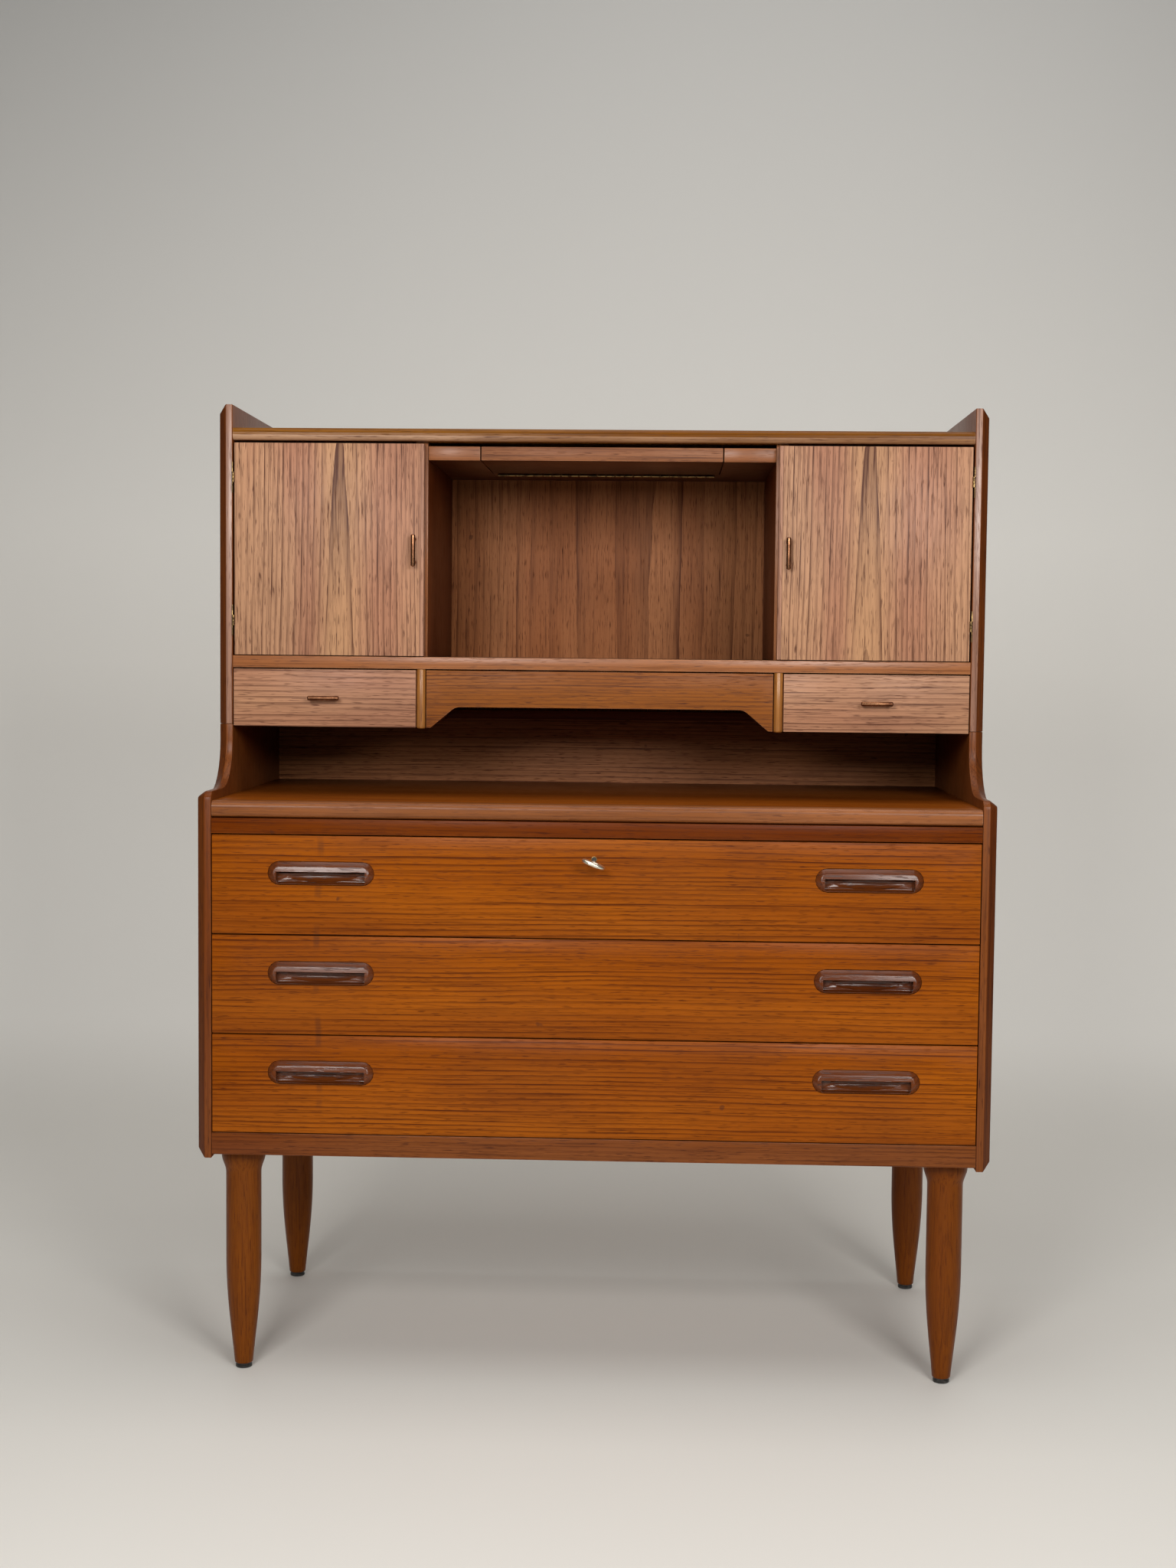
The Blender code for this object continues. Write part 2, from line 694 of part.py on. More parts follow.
def build_ceiling():
    """The niche's ceiling, notched for the mirror flap."""
    outer = NICHE_X - GAP
    notch = FLAP_WIDTH / 2 + 0.0015
    rear = NICHE_Y + FLAP_LENGTH + 0.0015
    outline = [
        (-outer, NICHE_Y),
        (-notch, NICHE_Y),
        (-notch, rear),
        (notch, rear),
        (notch, NICHE_Y),
        (outer, NICHE_Y),
        (outer, INSIDE_Y),
        (-outer, INSIDE_Y),
    ]
    add_object(
        "niche_ceiling", prism_shape(outline, "Z", CEILING_Z, CEILING_Z + CEILING_THICK), TEAK_PALE
    )


def build_flap():
    """The mirror flap in the niche's ceiling: a lipped board, its mirror on top and a piano hinge."""
    half = FLAP_WIDTH / 2
    rear = NICHE_Y + FLAP_LENGTH
    board_top = CEILING_Z + FLAP_THICK
    lip = NICHE_Y + 0.006
    outline = [
        (NICHE_Y, CEILING_Z),
        (rear, CEILING_Z),
        (rear, board_top),
        (lip, board_top),
        (lip, CEILING_Z + CEILING_THICK),
        (NICHE_Y, CEILING_Z + CEILING_THICK),
    ]
    flap = add_object("mirror_flap", prism_shape(outline, "X", -half, half), TEAK_PALE)
    mirror_z = board_top + GAP
    mirror = board(
        "mirror",
        -half + MIRROR_BORDER,
        half - MIRROR_BORDER,
        lip + GAP,
        rear - MIRROR_BORDER,
        mirror_z,
        mirror_z + MIRROR_THICK,
        MIRROR,
    )
    hinge = add_object(
        "flap_hinge",
        cylinder_shape(
            HINGE_RADIUS, (-half + 0.006, FLAP_PIN_Y, FLAP_PIN_Z), (half - 0.006, FLAP_PIN_Y, FLAP_PIN_Z), 12
        ),
        BRASS,
    )
    leaf_top = CEILING_Z - GAP
    leaf = box_shape(
        -half + 0.006,
        half - 0.006,
        FLAP_PIN_Y,
        FLAP_PIN_Y + HINGE_LEAF,
        leaf_top - HINGE_LEAF_THICK,
        leaf_top,
    )
    boolean(hinge, leaf, "UNION")
    smooth(hinge)
    ride(joint_empty("mirror_flap_hinge", (0, FLAP_PIN_Y, FLAP_PIN_Z)), flap, mirror)


def build_bar_pull(name, middle, along):
    """A slim round bar on two posts. middle is the bar's middle and along is its direction."""
    middle = Vector(middle)
    along = Vector(along)
    half = along * (BAR_LENGTH / 2)
    pull = add_object(name, cylinder_shape(BAR_RADIUS, middle - half, middle + half, 16), BRASS)
    for sign in (-1, 1):
        foot = middle + along * (sign * POST_SPACING / 2)
        post = cylinder_shape(POST_RADIUS, foot, foot + Vector((0, PULL_REACH - GAP, 0)), 12)
        boolean(pull, post, "UNION")
    smooth(pull)
    return pull


def build_door(word, side):
    low = NICHE_Z + REVEAL
    high = TOP_Z - DOOR_TOP_REVEAL
    x0, x1 = sorted((side * DOOR_INNER_X, side * DOOR_OUTER_X))
    door = board("door_" + word, x0, x1, SETBACK, SETBACK + DOOR_THICK, low, high, TEAK_PALE)
    pull_x = side * (DOOR_INNER_X + PULL_INSET)
    pull = build_bar_pull(
        "door_pull_" + word,
        (pull_x, SETBACK - PULL_REACH, NICHE_Z + PULL_ABOVE_SHELF),
        (0, 0, 1),
    )
    ride(joint_empty("door_hinge_line_" + word, (side * DOOR_PIN_X, DOOR_PIN_Y, low)), door, pull)
    for place, z in (("lower", low + DOOR_HINGE_END), ("upper", high - DOOR_HINGE_END)):
        build_door_hinge("door_hinge_%s_%s" % (place, word), side, z)


def build_door_hinge(name, side, z):
    """A butt hinge's barrel with the plate on the cabinet side."""
    half = DOOR_HINGE_LENGTH / 2
    pin_x = side * DOOR_PIN_X
    hinge = add_object(
        name, cylinder_shape(0.0019, (pin_x, DOOR_PIN_Y, z - half), (pin_x, DOOR_PIN_Y, z + half), 12), BRASS
    )
    x0, x1 = sorted((side * (INNER_X - GAP), side * (INNER_X - GAP - 0.0012)))
    boolean(hinge, box_shape(x0, x1, DOOR_PIN_Y, SETBACK + DOOR_THICK - 0.001, z - half, z + half), "UNION")
    smooth(hinge)
    return hinge


def build_small_drawer(word, side):
    low = JOINT_Z - 0.0025
    high = SHELF_Z - REVEAL * 2
    near = CELL_X + 0.0002
    far = INNER_X - SIDE_REVEAL
    x0, x1 = sorted((side * near, side * far))
    front_y = SETBACK + SMALL_FRONT_THICK
    front = board("small_drawer_%s_front" % word, x0, x1, SETBACK, front_y, low, high, TEAK_PALE)
    box_z = JOINT_Z + GAP + CELL_FLOOR_THICK + SLIDE
    box = tray(
        "small_drawer_%s_box" % word,
        x0 + 0.0025,
        x1 - 0.0025,
        front_y + GAP,
        INSIDE_Y - 0.010,
        box_z,
        high - 0.004,
        SMALL_WALL,
        SMALL_FLOOR,
        INNER_WOOD,
    )
    pull = build_bar_pull(
        "small_pull_" + word, ((x0 + x1) / 2, SETBACK - PULL_REACH, (low + high) / 2), (1, 0, 0)
    )
    ride(joint_empty("small_drawer_%s_slide" % word, (0, SETBACK, low)), front, box, pull)


def arch_outline(half, low, high):
    """The centre drawer's front: straight top, and a lower edge that rises to a long flat arch."""
    crown = low + ARCH_RISE
    corner = 0.018
    slope = math.atan2(crown - 0.0015 - low, ARCH_FOOT - ARCH_SHOULDER - 0.012)
    points = [(-half, high), (-half, low), (-ARCH_FOOT, low)]
    curve = arc((-ARCH_SHOULDER, crown - corner), corner, 90 + math.degrees(slope), 90, 6)
    points += curve
    points += [(-x, z) for x, z in reversed(curve)]
    points += [(ARCH_FOOT, low), (half, low), (half, high)]
    return points


def build_centre_drawer():
    low = JOINT_Z - 0.0025
    high = SHELF_Z - REVEAL * 2
    half = NICHE_X - REVEAL
    front_y = SETBACK + SMALL_FRONT_THICK
    front = add_object(
        "centre_drawer_front",
        prism_shape(arch_outline(half, low, high), "Y", SETBACK, front_y),
        TEAK_PALE,
    )
    box_z = JOINT_Z + GAP + ARCH_RISE + 0.003 + SLIDE
    box_x = NICHE_X - 0.0015
    box = tray(
        "centre_drawer_box",
        -box_x,
        box_x,
        front_y + GAP,
        INSIDE_Y - 0.020,
        box_z,
        high - 0.004,
        SMALL_WALL,
        SMALL_FLOOR,
        INNER_WOOD,
    )
    ride(joint_empty("centre_drawer_slide", (0, SETBACK, low)), front, box)


def main():
    clear_scene()
    build_sides()
    build_chest()
    build_legs()
    for number in range(1, DRAWER_COUNT + 1):
        build_large_drawer(number)
    build_leaf()
    build_cabinet()
    build_flap()
    for word, side in (("left", -1), ("right", 1)):
        build_door(word, side)
        build_small_drawer(word, side)
    build_centre_drawer()
    for obj in bpy.context.scene.objects:
        if obj.parent is None:
            obj.location.y -= MIDDLE_Y


main()
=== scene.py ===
import json
import math

import bmesh
import bpy
from mathutils import Matrix, Vector


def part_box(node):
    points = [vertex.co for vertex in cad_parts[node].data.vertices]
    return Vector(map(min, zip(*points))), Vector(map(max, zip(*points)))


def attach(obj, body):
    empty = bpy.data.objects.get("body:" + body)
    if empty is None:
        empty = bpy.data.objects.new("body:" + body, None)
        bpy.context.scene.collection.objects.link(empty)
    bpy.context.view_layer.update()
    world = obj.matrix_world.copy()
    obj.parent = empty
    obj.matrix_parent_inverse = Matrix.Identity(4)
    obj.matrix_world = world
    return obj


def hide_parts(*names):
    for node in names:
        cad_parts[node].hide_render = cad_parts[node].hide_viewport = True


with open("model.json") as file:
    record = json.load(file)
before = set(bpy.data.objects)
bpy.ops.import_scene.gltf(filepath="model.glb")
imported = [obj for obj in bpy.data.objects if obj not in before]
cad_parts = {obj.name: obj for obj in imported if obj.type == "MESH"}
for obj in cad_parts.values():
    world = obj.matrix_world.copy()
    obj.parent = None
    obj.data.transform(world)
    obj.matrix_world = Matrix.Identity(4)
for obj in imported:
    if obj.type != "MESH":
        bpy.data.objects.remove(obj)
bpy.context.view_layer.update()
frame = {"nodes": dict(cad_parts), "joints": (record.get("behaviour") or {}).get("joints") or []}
print("frame loaded:", len(frame["nodes"]), "nodes")

sides = (("left", -1), ("right", 1))
axes = {"X": Vector((1, 0, 0)), "Y": Vector((0, 1, 0)), "Z": Vector((0, 0, 1))}


# Selecting and shaping, as by hand in edit mode.
def clearSelection():
    if bpy.context.mode != "OBJECT":
        bpy.ops.object.mode_set(mode="OBJECT")
    bpy.ops.object.select_all(action="DESELECT")


def makeActive(piece):
    clearSelection()
    piece.select_set(True)
    bpy.context.view_layer.objects.active = piece


def openEdit(piece, kind):
    makeActive(piece)
    bpy.ops.object.mode_set(mode="EDIT")
    bpy.ops.mesh.select_mode(type=kind)
    bpy.ops.mesh.select_all(action="DESELECT")
    shape = bmesh.from_edit_mesh(piece.data)
    shape.normal_update()
    return shape


def selectVerts(piece, test):
    shape = openEdit(piece, "VERT")
    for vert in shape.verts:
        vert.select_set(bool(test(vert.co)))
    shape.select_flush(True)
    bmesh.update_edit_mesh(piece.data)


def selectFaces(piece, test):
    shape = openEdit(piece, "FACE")
    for face in shape.faces:
        face.select_set(bool(test(face.calc_center_median(), face.normal)))
    bmesh.update_edit_mesh(piece.data)


def bevelEdges(piece, width, segments=2, test=None, angle=30):
    # Rounds the edges sharper than the angle whose two ends pass the test.
    shape = openEdit(piece, "EDGE")
    for edge in shape.edges:
        sharp = len(edge.link_faces) == 2 and edge.calc_face_angle(0.0) > math.radians(angle)
        inPlace = test is None or all(test(vert.co) for vert in edge.verts)
        edge.select_set(bool(sharp and inPlace))
    bmesh.update_edit_mesh(piece.data)
    bpy.ops.mesh.bevel(
        offset=width, segments=segments, profile=0.5, affect="EDGES", clamp_overlap=True
    )
    bpy.ops.object.mode_set(mode="OBJECT")
    return piece


def applyPlace(piece):
    makeActive(piece)
    bpy.ops.object.transform_apply(location=True, rotation=True, scale=True)
    return piece


def faceOut(piece):
    openEdit(piece, "FACE")
    bpy.ops.mesh.select_all(action="SELECT")
    bpy.ops.mesh.remove_doubles(threshold=0.000005)
    bpy.ops.mesh.normals_make_consistent(inside=False)
    bpy.ops.object.mode_set(mode="OBJECT")
    return piece


def addBlock(name, low, high):
    clearSelection()
    low, high = Vector(low), Vector(high)
    bpy.ops.mesh.primitive_cube_add(size=1, location=(low + high) / 2, scale=high - low)
    piece = bpy.context.active_object
    piece.name = name
    piece.data.name = name
    return applyPlace(piece)


def addBoard(name, low, high, width=0.0006, segments=2):
    # A board with its arrises taken off.
    return bevelEdges(addBlock(name, low, high), width, segments)


def addTurned(name, profile, place=(0, 0, 0), along="Z", steps=48):
    # Ring by ring from (radius, height) points: a circle, extruded and scaled, then laid along its axis.
    clearSelection()
    radius, height = profile[0]
    bpy.ops.mesh.primitive_circle_add(
        vertices=steps, radius=radius, fill_type="NGON", location=(0, 0, height)
    )
    piece = bpy.context.active_object
    piece.name = name
    piece.data.name = name
    applyPlace(piece)
    openEdit(piece, "FACE")
    bpy.ops.mesh.select_all(action="SELECT")
    for nextRadius, nextHeight in profile[1:]:
        bpy.ops.mesh.extrude_region_move(
            TRANSFORM_OT_translate={"value": (0, 0, nextHeight - height)}
        )
        share = nextRadius / radius
        bpy.ops.transform.resize(value=(share, share, 1), center_override=(0, 0, nextHeight))
        radius, height = nextRadius, nextHeight
    bpy.ops.object.mode_set(mode="OBJECT")
    faceOut(piece)
    turn = axes["Z"].rotation_difference(axes[along]).to_matrix().to_4x4()
    piece.matrix_world = Matrix.Translation(Vector(place)) @ turn
    return applyPlace(piece)


def addStadium(name, middle, width, height, frontY, backY, steps=40):
    # A slot with round ends, seen from the front, as deep as from frontY to backY.
    clearSelection()
    bpy.ops.mesh.primitive_circle_add(
        vertices=steps, radius=height / 2, fill_type="NGON", rotation=(math.pi / 2, 0, 0)
    )
    piece = bpy.context.active_object
    piece.name = name
    piece.data.name = name
    applyPlace(piece)
    reach = (width - height) / 2
    for sign in (-1, 1):
        selectVerts(piece, lambda co: co.x * sign > 1e-6)
        bpy.ops.transform.translate(value=(sign * reach, 0, 0))
    bpy.ops.mesh.select_all(action="SELECT")
    bpy.ops.transform.translate(value=(middle[0], frontY, middle[1]))
    bpy.ops.mesh.extrude_region_move(TRANSFORM_OT_translate={"value": (0, backY - frontY, 0)})
    bpy.ops.object.mode_set(mode="OBJECT")
    return faceOut(piece)


def copyNode(node, name):
    # A CAD node's mesh, merged and with its flat triangles made whole faces.
    piece = bpy.data.objects.new(name, frame["nodes"][node].data.copy())
    piece.data.name = name
    bpy.context.scene.collection.objects.link(piece)
    openEdit(piece, "FACE")
    bpy.ops.mesh.select_all(action="SELECT")
    bpy.ops.mesh.customdata_custom_splitnormals_clear()
    bpy.ops.mesh.remove_doubles(threshold=0.00001)
    bpy.ops.mesh.dissolve_limited(angle_limit=math.radians(0.4))
    bpy.ops.object.mode_set(mode="OBJECT")
    return piece


def copyPiece(piece, name, shift=(0, 0, 0), mirror=False):
    made = piece.copy()
    made.data = piece.data.copy()
    made.name = name
    made.data.name = name
    bpy.context.scene.collection.objects.link(made)
    turn = Matrix.Diagonal((-1, 1, 1, 1)) if mirror else Matrix.Identity(4)
    made.data.transform(Matrix.Translation(Vector(shift)) @ turn)
    return faceOut(made) if mirror else made


def cutAway(piece, cutter):
    modifier = piece.modifiers.new("cut", "BOOLEAN")
    modifier.operation = "DIFFERENCE"
    modifier.solver = "EXACT"
    modifier.object = cutter
    makeActive(piece)
    bpy.ops.object.modifier_apply(modifier="cut")
    bpy.data.objects.remove(cutter, do_unlink=True)
    return piece


def joinPieces(name, pieces):
    makeActive(pieces[0])
    for piece in pieces[1:]:
        piece.select_set(True)
    bpy.ops.object.join()
    pieces[0].name = name
    pieces[0].data.name = name
    return pieces[0]


def finish(piece, material, body, *nodes, angle=32):
    # Material, shading, the body that it moves with, and the nodes that it stands for.
    makeActive(piece)
    bpy.ops.object.shade_smooth_by_angle(angle=math.radians(angle))
    piece.data.materials.clear()
    piece.data.materials.append(material)
    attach(piece, body)
    if nodes:
        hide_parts(*nodes)
    return piece


# Shader helpers.
def addNode(tree, kind, inputs=None, **settings):
    made = tree.nodes.new("ShaderNode" + kind)
    for word, value in settings.items():
        setattr(made, word, value)
    for word, value in (inputs or {}).items():
        if isinstance(value, bpy.types.NodeSocket):
            tree.links.new(value, made.inputs[word])
        else:
            made.inputs[word].default_value = value
    return made


def calc(tree, operation, first, second=0.0, third=0.0):
    return addNode(tree, "Math", {0: first, 1: second, 2: third}, operation=operation).outputs[0]


def ramp(tree, value, low, high, bottom=0.0, top=1.0, kind="SMOOTHSTEP"):
    inputs = {"Value": value, "From Min": low, "From Max": high, "To Min": bottom, "To Max": top}
    return addNode(tree, "MapRange", inputs, interpolation_type=kind).outputs[0]


def blendColour(tree, share, first, second):
    inputs = {0: share, 6: first, 7: second}
    return addNode(tree, "Mix", inputs, data_type="RGBA").outputs[2]


def stretched(tree, parts, along, across):
    inputs = {
        0: calc(tree, "MULTIPLY", parts[0], along),
        1: calc(tree, "MULTIPLY", parts[1], across),
        2: calc(tree, "MULTIPLY", parts[2], across),
    }
    return addNode(tree, "CombineXYZ", inputs).outputs[0]


def noise(tree, vector, detail=2.0, roughness=0.5, scale=1.0):
    inputs = {"Vector": vector, "Scale": scale, "Detail": detail, "Roughness": roughness}
    return addNode(tree, "TexNoise", inputs).outputs[0]


def newMaterial(name):
    material = bpy.data.materials.new(name)
    material.use_nodes = True
    tree = material.node_tree
    place = addNode(tree, "TexCoord").outputs["Object"]
    return material, tree, tree.nodes["Principled BSDF"], place


def newGroup(name, inputs, outputs):
    tree = bpy.data.node_groups.new(name, "ShaderNodeTree")
    for label, kind, value in inputs:
        socket = tree.interface.new_socket(name=label, in_out="INPUT", socket_type="NodeSocket" + kind)
        if value is not None:
            socket.default_value = value
    for label, kind in outputs:
        tree.interface.new_socket(name=label, in_out="OUTPUT", socket_type="NodeSocket" + kind)
    given = tree.nodes.new("NodeGroupInput").outputs
    result = tree.nodes.new("NodeGroupOutput").inputs
    return tree, given, result


def woodFigureGroup():
    # Growth rings round a pith line along X, with wandering lines, fibres and open pores.
    tree, given, result = newGroup(
        "woodFigure",
        [
            ("Vector", "Vector", None),
            ("Light", "Color", (0.5, 0.2, 0.07, 1)),
            ("Middle", "Color", (0.4, 0.15, 0.05, 1)),
            ("Dark", "Color", (0.15, 0.05, 0.02, 1)),
            ("Rings", "Float", 110.0),
            ("Ring Strength", "Float", 0.6),
            ("Pore Strength", "Float", 0.5),
            ("Slope", "Float", 0.0),
            ("Wander", "Float", 0.008),
            ("Patches", "Float", 0.8),
            ("Heart", "Float", 0.0),
            ("Heart Color", "Color", (0.55, 0.30, 0.15, 1)),
        ],
        [("Color", "Color"), ("Height", "Float"), ("Gloss", "Float")],
    )
    split = addNode(tree, "SeparateXYZ", {0: given["Vector"]}).outputs
    depth = calc(tree, "MULTIPLY_ADD", split[0], given["Slope"], split[1])
    parts = (split[0], depth, split[2])
    square = calc(tree, "MULTIPLY", depth, depth)
    radius = calc(tree, "SQRT", calc(tree, "MULTIPLY_ADD", split[2], split[2], square))
    wide = calc(tree, "SUBTRACT", noise(tree, stretched(tree, parts, 1.6, 7.0), 2.0), 0.5)
    fine = calc(tree, "SUBTRACT", noise(tree, stretched(tree, parts, 9.0, 40.0), 1.0), 0.5)
    radius = calc(tree, "MULTIPLY_ADD", wide, given["Wander"], radius)
    radius = calc(tree, "MULTIPLY_ADD", fine, 0.0016, radius)
    spacing = addNode(tree, "TexNoise", {"W": radius, "Scale": 13.0, "Detail": 1.0}, noise_dimensions="1D")
    count = calc(tree, "MULTIPLY", radius, given["Rings"])
    count = calc(tree, "MULTIPLY_ADD", spacing.outputs[0], 3.4, count)
    saw = calc(tree, "FRACT", count)
    lateWood = calc(tree, "POWER", saw, 4.0)
    ownTone = addNode(tree, "TexWhiteNoise", {"W": calc(tree, "FLOOR", count)}, noise_dimensions="1D")
    lateWood = calc(tree, "MULTIPLY", lateWood, ramp(tree, ownTone.outputs[0], 0.0, 1.0, 0.42, 1.0, "LINEAR"))
    broken = ramp(tree, noise(tree, stretched(tree, parts, 5.0, 60.0), 2.0), 0.3, 0.62, 0.45, 1.0)
    lateWood = calc(tree, "MULTIPLY", lateWood, broken)
    fibres = noise(tree, stretched(tree, parts, 9.0, 420.0), 3.0, 0.6)
    pores = ramp(tree, noise(tree, stretched(tree, parts, 55.0, 820.0), 1.0), 0.56, 0.72)
    patches = ramp(tree, noise(tree, stretched(tree, parts, 1.3, 9.0), 3.0, 0.55), 0.36, 0.66)
    patches = calc(tree, "MULTIPLY", patches, given["Patches"])
    colour = blendColour(tree, patches, given["Light"], given["Middle"])
    # the golden middle of a flat-sawn leaf, along the crown of its arches
    fromHeart = calc(tree, "MULTIPLY_ADD", wide, 0.05, calc(tree, "ABSOLUTE", split[2]))
    heart = calc(tree, "MULTIPLY", ramp(tree, fromHeart, 0.055, 0.008), given["Heart"])
    colour = blendColour(tree, heart, colour, given["Heart Color"])
    stain = calc(tree, "MULTIPLY", lateWood, given["Ring Strength"])
    poreStain = calc(tree, "MULTIPLY", pores, given["Pore Strength"])
    fibreStain = ramp(tree, fibres, 0.44, 0.74, 0.0, 0.5)
    stain = calc(tree, "MAXIMUM", stain, poreStain)
    stain = calc(tree, "MINIMUM", calc(tree, "ADD", stain, fibreStain), 1.0)
    tree.links.new(blendColour(tree, stain, colour, given["Dark"]), result["Color"])
    hollow = calc(tree, "MULTIPLY_ADD", lateWood, 0.35, pores)
    tree.links.new(calc(tree, "SUBTRACT", 1.0, hollow), result["Height"])
    gloss = calc(tree, "MULTIPLY_ADD", pores, 0.14, calc(tree, "MULTIPLY", fibres, 0.08))
    tree.links.new(gloss, result["Gloss"])
    return tree


def edgeWearAndHighlightGroup():
    # Paler arrises, broken up by noise: partly rubbed wear, partly a painted highlight along the rounded
    # edges.
    tree, given, result = newGroup(
        "edgeWear",
        [
            ("Color", "Color", (0.5, 0.2, 0.07, 1)),
            ("Worn", "Color", (0.6, 0.35, 0.2, 1)),
            ("Amount", "Float", 0.5),
            ("Radius", "Float", 0.0012),
        ],
        [("Color", "Color"), ("Mask", "Float")],
    )
    soft = addNode(tree, "Bevel", {"Radius": given["Radius"]}, samples=4).outputs[0]
    plain = addNode(tree, "NewGeometry").outputs["Normal"]
    match = addNode(tree, "VectorMath", {0: soft, 1: plain}, operation="DOT_PRODUCT").outputs["Value"]
    place = addNode(tree, "TexCoord").outputs["Object"]
    patchy = ramp(tree, noise(tree, place, 3.0, 0.6, 34.0), 0.35, 0.68, 0.1, 1.0)
    mask = calc(tree, "MULTIPLY", ramp(tree, match, 0.995, 0.86), patchy)
    mask = calc(tree, "MULTIPLY", mask, given["Amount"])
    tree.links.new(blendColour(tree, mask, given["Color"], given["Worn"]), result["Color"])
    tree.links.new(mask, result["Mask"])
    return tree


def handlingGroup():
    # Faint marks and grime of use: small dark flecks and broad, soft clouding.
    tree, given, result = newGroup(
        "handling",
        [
            ("Color", "Color", (0.5, 0.2, 0.07, 1)),
            ("Flecks", "Float", 0.5),
            ("Clouds", "Float", 0.15),
            ("Streak", "Float", 0.0),
            ("Streak Place", "Float", 0.0),
        ],
        [("Color", "Color"), ("Dulled", "Float")],
    )
    place = addNode(tree, "TexCoord").outputs["Object"]
    fleck = ramp(tree, noise(tree, place, 2.0, 0.5, 46.0), 0.74, 0.79)
    cloud = ramp(tree, noise(tree, place, 3.0, 0.55, 5.0), 0.38, 0.72)
    split = addNode(tree, "SeparateXYZ", {0: place}).outputs
    bend = noise(tree, place, 1.0, 0.5, 7.0)
    fromLine = calc(tree, "SUBTRACT", calc(tree, "MULTIPLY_ADD", bend, 0.02, split[0]), given["Streak Place"])
    line = ramp(tree, calc(tree, "ABSOLUTE", fromLine), 0.0055, 0.0015)
    upright = addNode(tree, "TexNoise", {"W": split[2], "Scale": 17.0, "Detail": 2.0}, noise_dimensions="1D")
    line = calc(tree, "MULTIPLY", line, ramp(tree, upright.outputs[0], 0.46, 0.6))
    dirt = calc(tree, "MULTIPLY", fleck, given["Flecks"])
    dirt = calc(tree, "MULTIPLY_ADD", line, given["Streak"], dirt)
    dirt = calc(tree, "MULTIPLY_ADD", cloud, given["Clouds"], dirt)
    tree.links.new(blendColour(tree, dirt, given["Color"], (0.06, 0.02, 0.01, 1)), result["Color"])
    tree.links.new(calc(tree, "MULTIPLY", cloud, 0.1), result["Dulled"])
    return tree


shared = {"figure": woodFigureGroup(), "wear": edgeWearAndHighlightGroup(), "handling": handlingGroup()}

# Which way the grain runs: the turn that lays it along the figure's X.
grainTurn = {"X": (0, 0, 0), "Z": (0, math.pi / 2, 0), "Y": (0, 0, -math.pi / 2)}

